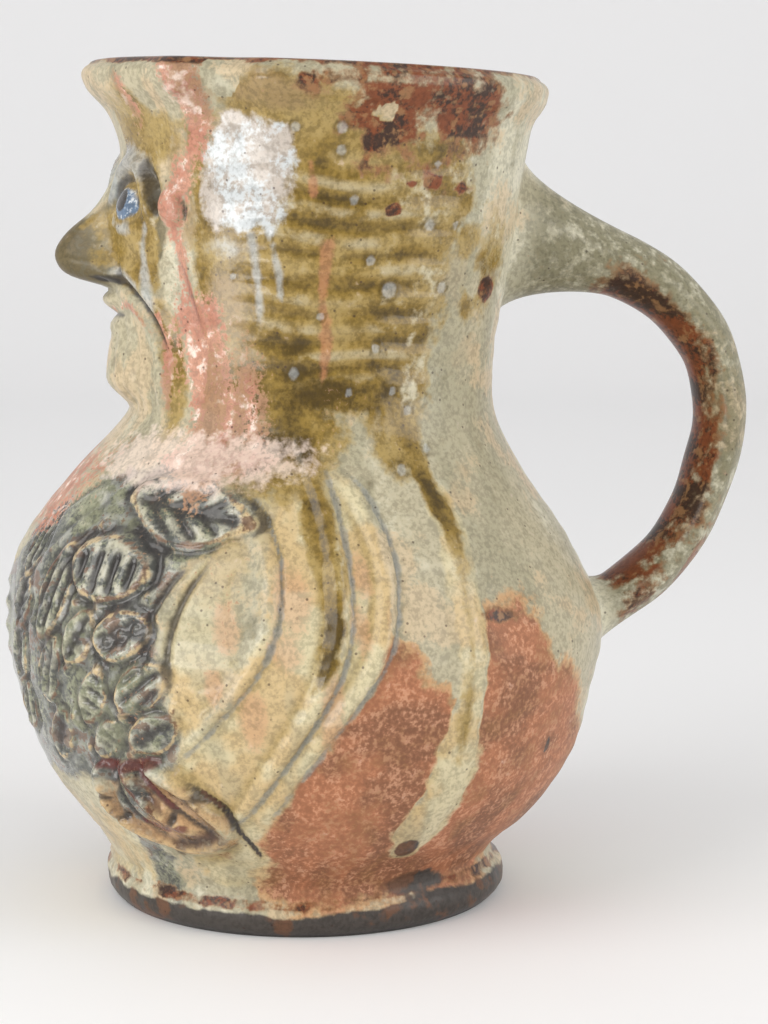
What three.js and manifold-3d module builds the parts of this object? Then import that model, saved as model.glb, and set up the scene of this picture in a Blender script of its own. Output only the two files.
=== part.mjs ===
// A stoneware pitcher in the form of an owl, thrown on the wheel, carved, and fired as one piece.
// Millimetres, +Z up. The origin is the middle of the flat underside. The face and the pouring
// lip look along -Y, and the strap handle stands out along +Y.

import * as THREE from 'three';
import { mergeVertices } from 'three/addons/utils/BufferGeometryUtils.js';
import Module from 'manifold-3d';

const wasm = await Module();
wasm.setup();

// Driving dimensions of the thrown wall.
const HEIGHT = 220;
const WALL = 5;
const FLOOR = 8;

// Down over the lip and inside it, where the wall is thinned out: radius and height.
const LIP_INSIDE = [[51.2, 209], [52.3, 214], [53.5, 218], [55, 220]];

// The outside of the wall from the foot up. The lean is how far the middle of the ring sits
// towards the handle, because the soft pot sagged a little before it was fired.
const OUTLINE = [
  { height: 0, radius: 51.4, lean: -0.4 },
  { height: 2, radius: 53.4, lean: -0.4 },
  { height: 6, radius: 54, lean: -0.7 },
  { height: 12, radius: 51.9, lean: -1.9 },
  { height: 16, radius: 53.7, lean: -1.6 },
  { height: 22, radius: 59.3, lean: -0.1 },
  { height: 36, radius: 69.7, lean: 0.3 },
  { height: 55, radius: 76.8, lean: 0 },
  { height: 75, radius: 79.7, lean: 0 },
  { height: 95, radius: 73.1, lean: -2.4 },
  { height: 115, radius: 59.5, lean: -1.8 },
  { height: 130, radius: 49.2, lean: 1.2 },
  { height: 145, radius: 47.4, lean: 2.6 },
  { height: 165, radius: 49.5, lean: 3.6 },
  { height: 185, radius: 52.3, lean: 4.5 },
  { height: 200, radius: 53.9, lean: 4.9 },
  { height: 208, radius: 56.4, lean: 4.3 },
  { height: 214, radius: 60.6, lean: 3.6 },
  { height: 218.4, radius: 60.5, lean: 3.4 },
  { height: 220, radius: 58.6, lean: 3.4 },
];

// How finely the wall is turned: rings up the outside, steps round it, and the same inside.
const OUTER_RINGS = [
  0, 2, 6, 12, 16, 22, 32, 43, 55, 65, 75, 85, 95, 105, 115, 123, 131,
  140, 152, 166, 180, 192, 202, 209, 214, 218.4, 220,
];
const OUTER_STEPS = 50;
const FRONT_CROWDING = 0.42;
const INNER_RINGS = [8, 14, 24, 40, 58, 75, 92, 108, 122, 134, 150, 175, 200];
const INNER_STEPS = 32;

// The mouth: the rim stands higher at the lip than at the handle, is drawn out at the lip, and is
// pinched on either side of it into a crest with a crease behind it.
const RIM_TILT = 2.2;
const RIM_TILT_FROM = 180;
const PINCH_FROM = 196;
const SPOUT = { spread: 36, proud: 1 };
const CREST = { angle: 44, spread: 9, proud: 1.6 };
const CREASE = { angle: 57, spread: 13, depth: 5 };

// The swelling of the face out of the neck.
const FACE = { proud: 6, spread: 44, chin: 131, jaw: 140, brow: 177, crown: 202 };

// The hooked beak, in the middle plane: how far in front of the axis, and how high.
const BEAK_LINE = [[43, 196], [49, 186], [56.5, 177.5], [61, 172], [61.6, 168.8]];
const BEAK_HALF_HEIGHT = 5.8;
const BEAK_HALF_WIDTH = { bridge: 5, nostrils: 7.8, tip: 4.6 };

// The handle's middle line, how far behind the axis and how high, from the neck to the belly.
const HANDLE_LINE = [
  [50, 179], [59, 177.5], [73.8, 172.8], [85.3, 169.3], [97.2, 163], [106, 154.7], [112, 145.4],
  [115.1, 133.8], [115.3, 123.9], [112.9, 113.6], [108.8, 102], [102.9, 91.8], [95.5, 84],
  [86.4, 77.4], [72, 69],
];
const HANDLE_HALF_WIDTH = 11.5;
const HANDLE_HALF_THICKNESS = 6.7;
const HANDLE_TAPER = 5;
const HANDLE_TOP_FLARE = { proud: 14, until: 0.23 };
const HANDLE_LOW_FLARE = { proud: 3, from: 0.88 };

// How far a pressed-on piece of clay reaches into the wall.
const ROOT_DEPTH = 2.2;
const RADIAN = Math.PI / 180;

const GLAZED_STONEWARE = new THREE.MeshStandardMaterial({
  color: 0xa8966c,
  roughness: 0.32,
  metalness: 0,
});

// Small shaping functions.

// A smooth hill, 1 in the middle and 0 at either end of -1 to 1.
function hill(t) {
  const left = Math.max(0, 1 - t * t);
  return left * left;
}

function rise(value, from, to) {
  return THREE.MathUtils.smoothstep(value, from, to);
}

// One value of the outline at any height, on a smooth curve through its stations.
function alongOutline(key) {
  const last = OUTLINE.length - 1;
  const slopes = OUTLINE.map((station, index) => {
    const before = OUTLINE[Math.max(index - 1, 0)];
    const after = OUTLINE[Math.min(index + 1, last)];
    const below = station.height - before.height;
    const above = after.height - station.height;
    const lower = below > 0 ? (station[key] - before[key]) / below : 0;
    const upper = above > 0 ? (after[key] - station[key]) / above : 0;
    return (lower * above + upper * below) / (above + below);
  });
  return (height) => {
    const level = THREE.MathUtils.clamp(height, OUTLINE[0].height, OUTLINE[last].height);
    let index = 0;
    while (index < last - 1 && level > OUTLINE[index + 1].height) {
      index += 1;
    }
    const low = OUTLINE[index];
    const high = OUTLINE[index + 1];
    const span = high.height - low.height;
    const t = (level - low.height) / span;
    const back = 1 - t;
    return low[key] * back * back * (1 + 2 * t)
      + high[key] * t * t * (3 - 2 * t)
      + span * (slopes[index] * t * back * back - slopes[index + 1] * t * t * back);
  };
}

const wallRadius = alongOutline('radius');
const wallLean = alongOutline('lean');

// What the fingers did to the rim, as a change of radius. Angles are in degrees from the front.
function pinch(angle, height) {
  const side = Math.abs(angle);
  const spout = SPOUT.proud * hill(side / SPOUT.spread);
  const crest = CREST.proud * hill((side - CREST.angle) / CREST.spread);
  const crease = CREASE.depth * hill((side - CREASE.angle) / CREASE.spread);
  return (spout + crest - crease) * rise(height, PINCH_FROM, HEIGHT);
}

function faceSwell(angle, height) {
  const upright = rise(height, FACE.chin, FACE.jaw) * (1 - rise(height, FACE.brow, FACE.crown));
  return FACE.proud * hill(angle / FACE.spread) * upright;
}

// The place of a point that was turned at a radius and a height, once the soft wall has moved.
function settle(angle, radius, height, swell) {
  const share = radius / wallRadius(height);
  const reach = radius + share * (pinch(angle, height) + swell);
  const lift = RIM_TILT * Math.cos(angle * RADIAN) * rise(height, RIM_TILT_FROM, HEIGHT);
  return new THREE.Vector3(
    reach * Math.sin(angle * RADIAN),
    wallLean(height) - reach * Math.cos(angle * RADIAN),
    height + lift,
  );
}

function outerWall(angle, height) {
  return settle(angle, wallRadius(height), height, faceSwell(angle, height));
}

// A point that stands proud of the outer wall, square to it.
function onWall(angle, height, proud) {
  const step = 0.5;
  const place = outerWall(angle, height);
  const sideways = outerWall(angle + step, height).sub(place);
  const upwards = outerWall(angle, height + step).sub(place);
  return place.addScaledVector(sideways.cross(upwards).normalize(), proud);
}

// Solids.

// A closed solid from a three.js geometry.
function solid(geometry) {
  geometry.deleteAttribute('normal');
  geometry.deleteAttribute('uv');
  const merged = mergeVertices(geometry, 1e-4);
  return new wasm.Manifold(new wasm.Mesh({
    numProp: 3,
    vertProperties: new Float32Array(merged.attributes.position.array),
    triVerts: new Uint32Array(merged.index.array),
  }));
}

// Every vertex of a geometry moved by a function from its old place to its new one.
function reshape(geometry, move) {
  const places = geometry.attributes.position;
  const place = new THREE.Vector3();
  for (let index = 0; index < places.count; index += 1) {
    place.fromBufferAttribute(places, index);
    const moved = move(place);
    places.setXYZ(index, moved.x, moved.y, moved.z);
  }
  return geometry;
}

// A profile of [radius, height] turned on the wheel, its steps crowded together at the front by
// a share of crowding, and then settled.
function turned(profile, steps, crowding, swell) {
  const points = profile.map(([radius, height]) => new THREE.Vector2(radius, height));
  return solid(reshape(new THREE.LatheGeometry(points, steps), (place) => {
    const even = Math.atan2(place.x, place.z);
    const angle = (even - crowding * Math.sin(even)) / RADIAN;
    return settle(angle, Math.hypot(place.x, place.z), place.y, swell(angle, place.y));
  }));
}

// A cylinder bent along a line. The section at each step comes from a function of the share of
// the line, 0 to 1, and the angle round it.
function bent(sides, steps, section) {
  return solid(reshape(new THREE.CylinderGeometry(1, 1, 1, sides, steps), (place) => {
    const out = Math.hypot(place.x, place.z) > 0.5 ? 1 : 0;
    return section(place.y + 0.5, Math.atan2(place.z, place.x), out);
  }));
}

// A line through [angle, height] places on the wall.
function wallLine(places) {
  const points = places.map(([angle, height]) => new THREE.Vector3(angle, height, 0));
  return new THREE.CatmullRomCurve3(points);
}

// A coil of clay pressed on along a line and thinned out at both ends.
function coil(places, width, proud, steps = 10) {
  const line = wallLine(places);
  return bent(5, steps, (share, turn, out) => {
    const middle = line.getPointAt(share);
    const ahead = line.getTangentAt(share);
    const perDegree = wallRadius(middle.y) * RADIAN;
    const run = new THREE.Vector2(ahead.x * perDegree, ahead.y).normalize();
    const fullness = 0.35 + 0.65 * Math.sqrt(hill(2 * share - 1));
    const side = out * Math.cos(turn) * fullness * width / 2;
    const up = Math.sin(turn) > 0 ? proud * fullness : ROOT_DEPTH;
    return onWall(
      middle.x + side * run.y / perDegree,
      middle.y - side * run.x,
      out * Math.sin(turn) * up,
    );
  });
}

// A pad of clay pressed on: a low dome with a rounded or pointed outline.
function pad(angle, height, { across, along, proud, turn = 0, point = 0, sides = 9 }) {
  const perDegree = wallRadius(height) * RADIAN;
  const cosine = Math.cos(turn * RADIAN);
  const sine = Math.sin(turn * RADIAN);
  return solid(reshape(new THREE.SphereGeometry(1, sides, 4).rotateX(Math.PI / 2), (place) => {
    const side = place.x * across / 2;
    const up = place.y * (1 - point * place.x * place.x) * along / 2;
    const depth = place.z > 0 ? proud : ROOT_DEPTH;
    return onWall(
      angle + (side * cosine - up * sine) / perDegree,
      height + side * sine + up * cosine,
      place.z * depth,
    );
  }));
}

// The same piece of clay on both sides of the middle plane.
function bothSides(piece) {
  return [piece, piece.mirror([1, 0, 0])];
}

// Parts of the pitcher.

function thrownWall() {
  const outside = OUTER_RINGS.map((height) => [wallRadius(height), height]);
  return turned([[0, 0], ...outside, [0, HEIGHT]], OUTER_STEPS, FRONT_CROWDING, faceSwell);
}

function hollow() {
  const inside = INNER_RINGS.map((height) => {
    const corner = 1 - rise(height, FLOOR, FLOOR + 3 * WALL);
    return [wallRadius(height) - WALL - 2 * WALL * corner, height];
  });
  const mouth = LIP_INSIDE[LIP_INSIDE.length - 1][0];
  const above = HEIGHT + WALL;
  const profile = [[0, FLOOR], ...inside, ...LIP_INSIDE, [mouth, above], [0, above]];
  return turned(profile, INNER_STEPS, 0, () => 0);
}

function strapHandle() {
  const line = new THREE.CatmullRomCurve3(HANDLE_LINE.map(([y, z]) => new THREE.Vector3(0, y, z)));
  return bent(12, 24, (share, turn, out) => {
    const middle = line.getPointAt(share);
    const ahead = line.getTangentAt(share);
    const top = Math.max(0, 1 - share / HANDLE_TOP_FLARE.until);
    const low = rise(share, HANDLE_LOW_FLARE.from, 1);
    const flare = HANDLE_TOP_FLARE.proud * top * top + HANDLE_LOW_FLARE.proud * low;
    const taper = HANDLE_TAPER * (1 - share) ** 4;
    const across = out * Math.cos(turn) * (HANDLE_HALF_WIDTH + flare / 2);
    const thick = out * Math.sin(turn) * (HANDLE_HALF_THICKNESS + taper + flare);
    return new THREE.Vector3(across, middle.y - thick * ahead.z, middle.z + thick * ahead.y);
  });
}

function beak() {
  const line = new THREE.CatmullRomCurve3(BEAK_LINE.map(([y, z]) => new THREE.Vector3(0, -y, z)));
  return bent(12, 9, (share, turn, out) => {
    const middle = line.getPointAt(share);
    const ahead = line.getTangentAt(share);
    const closing = Math.sqrt(1 - 0.82 * rise(share, 0.72, 1));
    const { bridge, nostrils, tip } = BEAK_HALF_WIDTH;
    const wing = nostrils - THREE.MathUtils.lerp(bridge, tip, share);
    const width = THREE.MathUtils.lerp(bridge, tip, share) + wing * hill((share - 0.55) / 0.45);
    const across = out * Math.cos(turn) * width * closing;
    const thick = out * Math.sin(turn) * BEAK_HALF_HEIGHT * closing;
    return new THREE.Vector3(across, middle.y - thick * ahead.z, middle.z + thick * ahead.y);
  });
}

// Eyes under heavy lids, the lumps beside them, the cheek folds, and the lobe of the chin.
function face() {
  return [
    beak(),
    pad(1, 143, { across: 22, along: 21, proud: 3.4, sides: 14 }),
    pad(0, 159.5, { across: 15, along: 6, proud: 3.4 }),
    ...bothSides(pad(15.5, 186.5, { across: 9, along: 11, proud: 3, sides: 10 })),
    ...bothSides(coil([[7, 188], [13, 194], [21, 196], [27, 191], [29, 184]], 6, 2.6, 9)),
    ...bothSides(pad(36, 185.5, { across: 8, along: 9, proud: 2.4, sides: 8 })),
    ...bothSides(coil([[11, 168], [18, 164], [26, 156], [29, 146], [30, 131]], 6, 2.2, 8)),
  ];
}

// The long wing feathers that fall from the shoulder, each with its raised edge.
function wings() {
  const edges = [
    [[60, 116], [70, 111], [76, 99], [75, 86], [70, 72], [62, 58], [55, 49]],
    [[80, 126], [88, 111], [89, 92], [85, 73], [78, 55], [69, 38]],
    [[90, 119], [97, 111], [99.5, 97], [95, 80], [88.5, 65], [80, 49], [72, 35]],
  ];
  return edges.flatMap((places) => bothSides(coil(places, 7, 1.9, 9)));
}

// The breast: leaf-shaped and oval feathers laid one over the other, in two rows.
function breastFeathers() {
  const feathers = [
    [56, 111, { across: 38, along: 17, proud: 2.6, turn: -8, point: 0.45 }],
    [44, 97, { across: 26, along: 15, proud: 3, turn: -4 }],
    [62, 92, { across: 24, along: 15, proud: 2.4, turn: 28 }],
    [27, 89, { across: 24, along: 14, proud: 2, turn: 76, point: 0.3 }],
    [51, 77, { across: 24, along: 14, proud: 2.6, turn: 12 }],
    [35, 72, { across: 24, along: 12, proud: 2, turn: 62, point: 0.3 }],
    [54, 62, { across: 20, along: 12, proud: 2.2, turn: 32 }],
  ];
  return feathers.flatMap(([angle, height, shape]) => bothSides(pad(angle, height, shape)));
}

// The beaded quill line down the middle of the breast.
function breastQuill() {
  const beads = 7;
  const lowest = 66;
  const pitch = 8;
  return Array.from({ length: beads }, (unused, index) => (
    pad(0, lowest + index * pitch, { across: 7, along: 7, proud: 1.6, sides: 4 })
  ));
}

// The clenched claws at the foot.
function claws() {
  return [
    ...bothSides(pad(51, 35, { across: 34, along: 21, proud: 4.2, turn: -12, sides: 14 })),
    ...bothSides(coil([[36, 40], [42, 30], [52, 26.5], [62, 29]], 8, 5, 7)),
  ];
}

function ceramicMesh(name, body) {
  const mesh = body.getMesh();
  const geometry = new THREE.BufferGeometry();
  geometry.setAttribute('position', new THREE.BufferAttribute(mesh.vertProperties, 3));
  geometry.setIndex(new THREE.BufferAttribute(mesh.triVerts, 1));
  geometry.computeVertexNormals();
  const shown = new THREE.Mesh(geometry, GLAZED_STONEWARE);
  shown.name = name;
  return shown;
}

const clay = [...face(), ...wings(), ...breastFeathers(), ...breastQuill(), ...claws()];
const joined = clay.reduce((sum, piece) => sum.add(piece), thrownWall().add(strapHandle()));
const pitcher = joined.subtract(hollow());

const group = new THREE.Group();
group.add(ceramicMesh('pitcher', pitcher));

export default group;
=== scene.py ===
"""Owl pitcher: a stoneware pitcher thrown on the wheel, carved, glazed and fired as one piece.

model.glb gives the solid. This file turns the same wall out finely, with its throwing rings,
face, feathers and claws, lofts the handle on to it, glazes it, and sets the stage and the light.
Lengths inside the pottery functions are millimetres and angles are degrees from the front.
"""

import math

import bpy
import numpy as np
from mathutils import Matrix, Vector


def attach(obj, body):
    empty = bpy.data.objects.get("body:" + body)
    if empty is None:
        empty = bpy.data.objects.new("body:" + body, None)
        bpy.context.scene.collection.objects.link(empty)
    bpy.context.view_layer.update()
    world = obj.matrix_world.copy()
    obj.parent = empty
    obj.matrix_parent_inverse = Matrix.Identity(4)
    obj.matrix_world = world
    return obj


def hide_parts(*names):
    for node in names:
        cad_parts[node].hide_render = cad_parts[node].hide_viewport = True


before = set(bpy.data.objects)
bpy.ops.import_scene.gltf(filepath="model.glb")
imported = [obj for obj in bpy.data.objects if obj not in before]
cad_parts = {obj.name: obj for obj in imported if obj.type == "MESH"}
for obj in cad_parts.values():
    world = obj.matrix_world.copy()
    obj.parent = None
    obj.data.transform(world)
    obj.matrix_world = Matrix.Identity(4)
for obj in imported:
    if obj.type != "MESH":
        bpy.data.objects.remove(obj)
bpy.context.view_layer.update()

bl_info = {
    "name": "Owl Pitcher",
    "version": (1, 0, 0),
    "blender": (4, 5, 0),
    "location": "3D View > Sidebar > Pitcher",
    "description": "Throws, carves and glazes a stoneware owl pitcher",
    "category": "Add Mesh",
}

MM = 0.001
RADIAN = math.pi / 180
PITCHER_NODE = "pitcher"


def earth(red, green, blue):
    """A glaze colour read in everyday 0 to 255 steps, as the linear colour a shader wants."""
    linear = []
    for step in (red, green, blue):
        share = step / 255
        linear.append(share / 12.92 if share < 0.04045 else ((share + 0.055) / 1.055) ** 2.4)
    return (*linear, 1.0)


# The thrown wall: height, radius, and how far the middle of the ring leans back to the handle.
OUTLINE = np.array([
    (0, 51.4, -0.4),
    (2, 53.4, -0.4),
    (6, 54, -0.7),
    (12, 51.9, -1.9),
    (16, 53.7, -1.6),
    (22, 59.3, -0.1),
    (36, 69.7, 0.3),
    (55, 76.8, 0),
    (75, 79.7, 0),
    (95, 73.1, -2.4),
    (115, 59.5, -1.8),
    (130, 49.2, 1.2),
    (145, 47.4, 2.6),
    (165, 49.5, 3.6),
    (185, 52.3, 4.5),
    (200, 53.9, 4.9),
    (208, 56.4, 4.3),
    (214, 60.6, 3.6),
    (218.4, 60.5, 3.4),
    (220, 58.6, 3.4),
])
RADIUS, LEAN = 1, 2
MEAN_RADIUS = 65
RIM = 220
WALL = 5
FLOOR = 8
RIM_TILT = 2.2

# The mesh: rows up the outside, columns round it, rows down the inside, points round the handle
# and rings along it.
OUTER_ROWS = 204
COLUMNS = 384
INNER_ROWS = 40
SECTION_SIDES = 44
HANDLE_RINGS = 76


def hill(t):
    """A smooth hill, 1 in the middle and 0 from -1 out and from 1 out."""
    return np.maximum(0, 1 - np.square(t)) ** 2


def dome(q):
    """Half a ball over a round place, 1 in its middle and 0 from its edge out."""
    return np.sqrt(np.clip(1 - q * q, 0, 1))


def level_rings(height, step):
    """Rings that rise and fall from 1 to -1, this many millimetres apart."""
    return np.cos(height / step * 2 * math.pi)


def rise(value, start, end):
    """A smooth step from 0 at start to 1 at end."""
    t = np.clip((value - start) / (end - start), 0, 1)
    return t * t * (3 - 2 * t)


def through(knots, values, at):
    """A smooth curve through values at knots, level at both ends."""
    spans = np.diff(knots)
    rates = np.diff(values) / spans
    slopes = np.zeros(len(knots))
    slopes[1:-1] = (rates[:-1] * spans[1:] + rates[1:] * spans[:-1]) / (spans[1:] + spans[:-1])
    level = np.clip(at, knots[0], knots[-1])
    index = np.clip(np.searchsorted(knots, level) - 1, 0, len(spans) - 1)
    t = (level - knots[index]) / spans[index]
    back = 1 - t
    return (
        values[index] * back * back * (1 + 2 * t)
        + values[index + 1] * t * t * (3 - 2 * t)
        + spans[index] * (slopes[index] * t * back * back - slopes[index + 1] * t * t * back)
    )


def outline(heights, column):
    """The radius of the wall, or how far it leans back, at these heights."""
    return through(OUTLINE[:, 0], OUTLINE[:, column], heights)


def pinch(angle, height):
    """What the fingers did to the rim: a drawn-out lip, then a crest with a crease behind it."""
    side = np.abs(angle)
    spout = hill(side / 36)
    crest = 1.6 * hill((side - 44) / 9)
    crease = 5 * hill((side - 57) / 13)
    return (spout + crest - crease) * rise(height, 196, RIM)


def face_swell(angle, height):
    """The swelling of the face out of the neck."""
    upright = rise(height, 131, 140) * (1 - rise(height, 177, 202))
    return 6 * hill(angle / 44) * upright


def settle(angle, radius, height):
    """Where a point turned at a radius and a height comes to lie once the soft wall has moved."""
    reach = radius + pinch(angle, height) * radius / outline(height, RADIUS)
    lift = RIM_TILT * np.cos(angle * RADIAN) * rise(height, 180, RIM)
    return np.stack([
        reach * np.sin(angle * RADIAN),
        outline(height, LEAN) - reach * np.cos(angle * RADIAN),
        height + lift,
    ], axis=-1)


def unsettle(points):
    """The angle, reach and height on the wall that settle() would bring to these points."""
    height = points[:, 2].copy()
    for _ in range(3):
        behind = points[:, 1] - outline(height, LEAN)
        angle = np.arctan2(points[:, 0], -behind) / RADIAN
        lift = RIM_TILT * np.cos(angle * RADIAN) * rise(height, 180, RIM)
        height = points[:, 2] - lift
    return angle, np.hypot(points[:, 0], behind), height


def crowded(start, end, count, gap):
    """Places from start to end, count of them, as close together as gap() asks at each."""
    fine = np.linspace(start, end, 4001)
    paid = np.concatenate([[0], np.cumsum(1 / gap((fine[1:] + fine[:-1]) / 2))])
    return np.interp(np.linspace(0, paid[-1], count), paid, fine)


def smooth_line(places, steps=6):
    """A smooth line through places, as points with about even steps between them."""
    knots = np.array(places, float)
    before = np.vstack([2 * knots[0] - knots[1], knots[:-1]])[:-1]
    after = np.vstack([knots[1:], 2 * knots[-1] - knots[-2]])[1:]
    start, end = knots[:-1], knots[1:]
    points = []
    for t in np.arange(steps) / steps:
        points.append(0.5 * (
            2 * start + (end - before) * t
            + (2 * before - 5 * start + 4 * end - after) * t * t
            + (3 * start - before - 3 * end + after) * t ** 3
        ))
    line = np.stack(points, axis=1).reshape(-1, knots.shape[1])
    return np.vstack([line, knots[-1]])


def ripple(angle, height, seed, waves=9, coarse=30.0):
    """A gentle unevenness round the pot, between about -1 and 1, with no seam at the back."""
    random = np.random.default_rng(seed)
    total = np.zeros_like(angle)
    for _ in range(waves):
        turns = random.integers(1, 9)
        rate = random.uniform(-1, 1) / coarse * 2 * math.pi
        total += np.sin(turns * angle * RADIAN + rate * height + random.uniform(0, 6.28))
    return total / math.sqrt(waves)


def mottle(angle, height, size, seed, stretch=1.0, octaves=4):
    """Cloudy mottling round the pot, 0 to 1, its spots about size mm across and stretched upwards."""
    random = np.random.default_rng(seed)
    total = np.zeros_like(angle)
    weights = 0
    for octave in range(octaves):
        step = size / 2 ** octave
        columns = max(3, round(2 * math.pi * MEAN_RADIUS / step))
        rows = int(RIM / (step * stretch)) + 3
        lattice = random.random((rows + 1, columns))
        across = (angle / 360 % 1) * columns
        up = np.clip(height / (step * stretch), 0, rows - 1)
        column, row = across.astype(int), up.astype(int)
        t, w = across - column, up - row
        t, w = t * t * (3 - 2 * t), w * w * (3 - 2 * w)
        column, following = column % columns, (column + 1) % columns
        low = lattice[row, column] * (1 - t) + lattice[row, following] * t
        high = lattice[row + 1, column] * (1 - t) + lattice[row + 1, following] * t
        weight = 0.62 ** octave
        total += weight * (low * (1 - w) + high * w)
        weights += weight
    return total / weights


def column_gap(angle):
    """How far apart the columns of the mesh stand: closest on the sides that are carved."""
    return np.interp(
        np.abs(angle), [0, 8, 14, 102, 115, 130, 180], [1.0, 1.0, 0.72, 0.72, 1.1, 1.8, 1.8])


def row_gap(height):
    """How far apart the rows of the mesh lie: closest at the beak and on the breast."""
    return np.interp(
        height, [0, 18, 24, 120, 128, 154, 160, 168, 174, 200, 208, 220],
        [1.5, 1.4, 0.95, 0.95, 1.25, 1.25, 0.75, 0.75, 1.2, 1.2, 0.95, 0.6])


def inner_gap(height):
    """How far apart the rings inside the pitcher lie: closest at its floor and under its lip."""
    return np.interp(height, [8, 30, 200, 216], [2, 5, 4.5, 1.6])


class Wall:
    """The outside of the wall, as a grid of angles and heights, with the clay worked on it."""

    def __init__(self):
        self.angles = crowded(-180, 180, COLUMNS + 1, column_gap)[:-1]
        self.heights = crowded(0, RIM, OUTER_ROWS, row_gap)
        self.angle, self.height = np.meshgrid(self.angles, self.heights)
        self.side = np.abs(self.angle)
        self.radius = outline(self.height, RADIUS)
        slope = np.gradient(outline(self.heights, RADIUS), self.heights)
        self.stretch = np.sqrt(1 + slope ** 2)[:, None] + np.zeros_like(self.angle)
        self.clay = np.zeros_like(self.angle)
        self.cut = np.zeros_like(self.angle)
        self.skin = np.zeros_like(self.angle)
        self.glazes = {"ink": np.zeros_like(self.angle)}

    def track(self, places, mirrored=True, reach=16):
        """How far each spot is from a line drawn on the wall, in mm, and the line's share there."""
        line = smooth_line(places)
        across = self.side if mirrored else self.angle
        low = line.min(axis=0) - reach
        high = line.max(axis=0) + reach
        near = (across > low[0]) & (across < high[0])
        near &= (self.height > low[1]) & (self.height < high[1])
        per_degree = self.radius[near] * RADIAN
        stretch = self.stretch[near]
        best = np.full(per_degree.shape, 1000.0)
        share = np.zeros_like(best)
        for index in range(len(line) - 1):
            start, end = line[index], line[index + 1]
            along = (across[near] - start[0]) * per_degree
            up = (self.height[near] - start[1]) * stretch
            step_along = (end[0] - start[0]) * per_degree
            step_up = (end[1] - start[1]) * stretch
            length = step_along ** 2 + step_up ** 2 + 1e-9
            t = np.clip((along * step_along + up * step_up) / length, 0, 1)
            distance = np.hypot(along - t * step_along, up - t * step_up)
            closer = distance < best
            best = np.where(closer, distance, best)
            share = np.where(closer, (index + t) / (len(line) - 1), share)
        distances = np.full(self.angle.shape, 1000.0)
        shares = np.zeros_like(self.angle)
        distances[near] = best
        shares[near] = share
        return distances, shares

    def patch(self, angle, height, across, along, turn=0, point=0, mirrored=True):
        """A round or leaf-shaped place: 0 in the middle to 1 at the edge, with its own u and v."""
        degrees = (self.side if mirrored else self.angle) - angle
        sideways = degrees * self.radius * RADIAN
        upwards = self.height - height
        cosine, sine = math.cos(turn * RADIAN), math.sin(turn * RADIAN)
        u = (sideways * cosine + upwards * sine) / (across / 2)
        v = (upwards * cosine - sideways * sine) / (along / 2)
        v = v / np.maximum(1 - point * u * u, 0.12)
        return np.hypot(u, v), u, v

    def add(self, proud):
        """Clay laid on, where it stands out further than what is there."""
        self.clay = np.maximum(self.clay, proud)

    def carve(self, depth):
        """Clay taken away, where that goes deeper than what was cut before."""
        self.cut = np.minimum(self.cut, -depth)

    def score(self, depth):
        """A thin line cut into the clay, where the dark glaze gathers."""
        self.carve(depth)
        self.paint("ink", np.clip(1.2 * depth, 0, 1))

    def coil(self, places, width, proud, ends=0.5):
        """A ridge of clay along a line, thinned out at both ends."""
        distance, share = self.track(places)
        fullness = ends + (1 - ends) * np.sqrt(hill(2 * share - 1))
        self.add(proud * fullness * hill(distance / (width / 2 * (0.6 + 0.4 * fullness))))

    def groove(self, places, width, depth, ends=0.2):
        """A line cut or pressed into the clay."""
        distance, share = self.track(places, reach=6)
        fullness = ends + (1 - ends) * np.sqrt(hill(2 * share - 1))
        self.score(depth * fullness * hill(distance / (width / 2)))

    def paint(self, glaze, amount):
        """More of a glaze, where amount says, between 0 and 1."""
        held = self.glazes.get(glaze, np.zeros_like(self.angle))
        self.glazes[glaze] = np.maximum(held, amount)

    def run(self, glaze, places, width, mirrored=False, amount=1.0, blunt=0.0):
        """A run of glaze down a line, wide ramps at its edges, tapered unless blunt."""
        distance, share = self.track(places, mirrored, reach=width + 8)
        body = np.clip(1.0 - distance / width, 0, 1)
        self.paint(glaze, amount * body * (1 - (1 - blunt) * rise(share, 0.75, 1.05)))

    def wipe(self, glaze, amount):
        """Less of a glaze."""
        self.glazes[glaze] = self.glazes[glaze] * (1 - np.clip(amount, 0, 1))

    def surface(self):
        """The places of all the spots, with the clay on them."""
        swollen = self.radius + face_swell(self.angle, self.height) + self.clay + self.skin
        return settle(self.angle, swollen, self.height)

    def read(self, grid, angle, height):
        """A grid's values at any angles and heights."""
        columns = np.append(self.angles, self.angles[0] + 360)
        turned = np.where(angle < columns[0], angle + 360, angle)
        column = np.clip(np.searchsorted(columns, turned) - 1, 0, COLUMNS - 1)
        row = np.clip(np.searchsorted(self.heights, height) - 1, 0, OUTER_ROWS - 2)
        across = (turned - columns[column]) / (columns[column + 1] - columns[column])
        up = (height - self.heights[row]) / (self.heights[row + 1] - self.heights[row])
        across, up = np.clip(across, 0, 1), np.clip(up, 0, 1)
        following = (column + 1) % COLUMNS
        low = grid[row, column] * (1 - across) + grid[row, following] * across
        high = grid[row + 1, column] * (1 - across) + grid[row + 1, following] * across
        return low * (1 - up) + high * up


def softened(grid, passes):
    """A grid blurred a little, round and up, so that its hollows and edges can be told."""
    for _ in range(passes):
        grid = (np.roll(grid, 1, axis=1) + 2 * grid + np.roll(grid, -1, axis=1)) / 4
        padded = np.vstack([grid[:1], grid, grid[-1:]])
        grid = (padded[:-2] + 2 * padded[1:-1] + padded[2:]) / 4
    return grid


# The wheel's marks.

NECK_RING_STEP = 7.1
FINE_RING_STEP = 3.1
BELLY_RING_STEP = 6.3
TURNED_LINES = ((9.5, 0.5), (13.0, 0.6), (20.5, 0.35))
TURNED_LINE_WIDTH = 1.6


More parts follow.
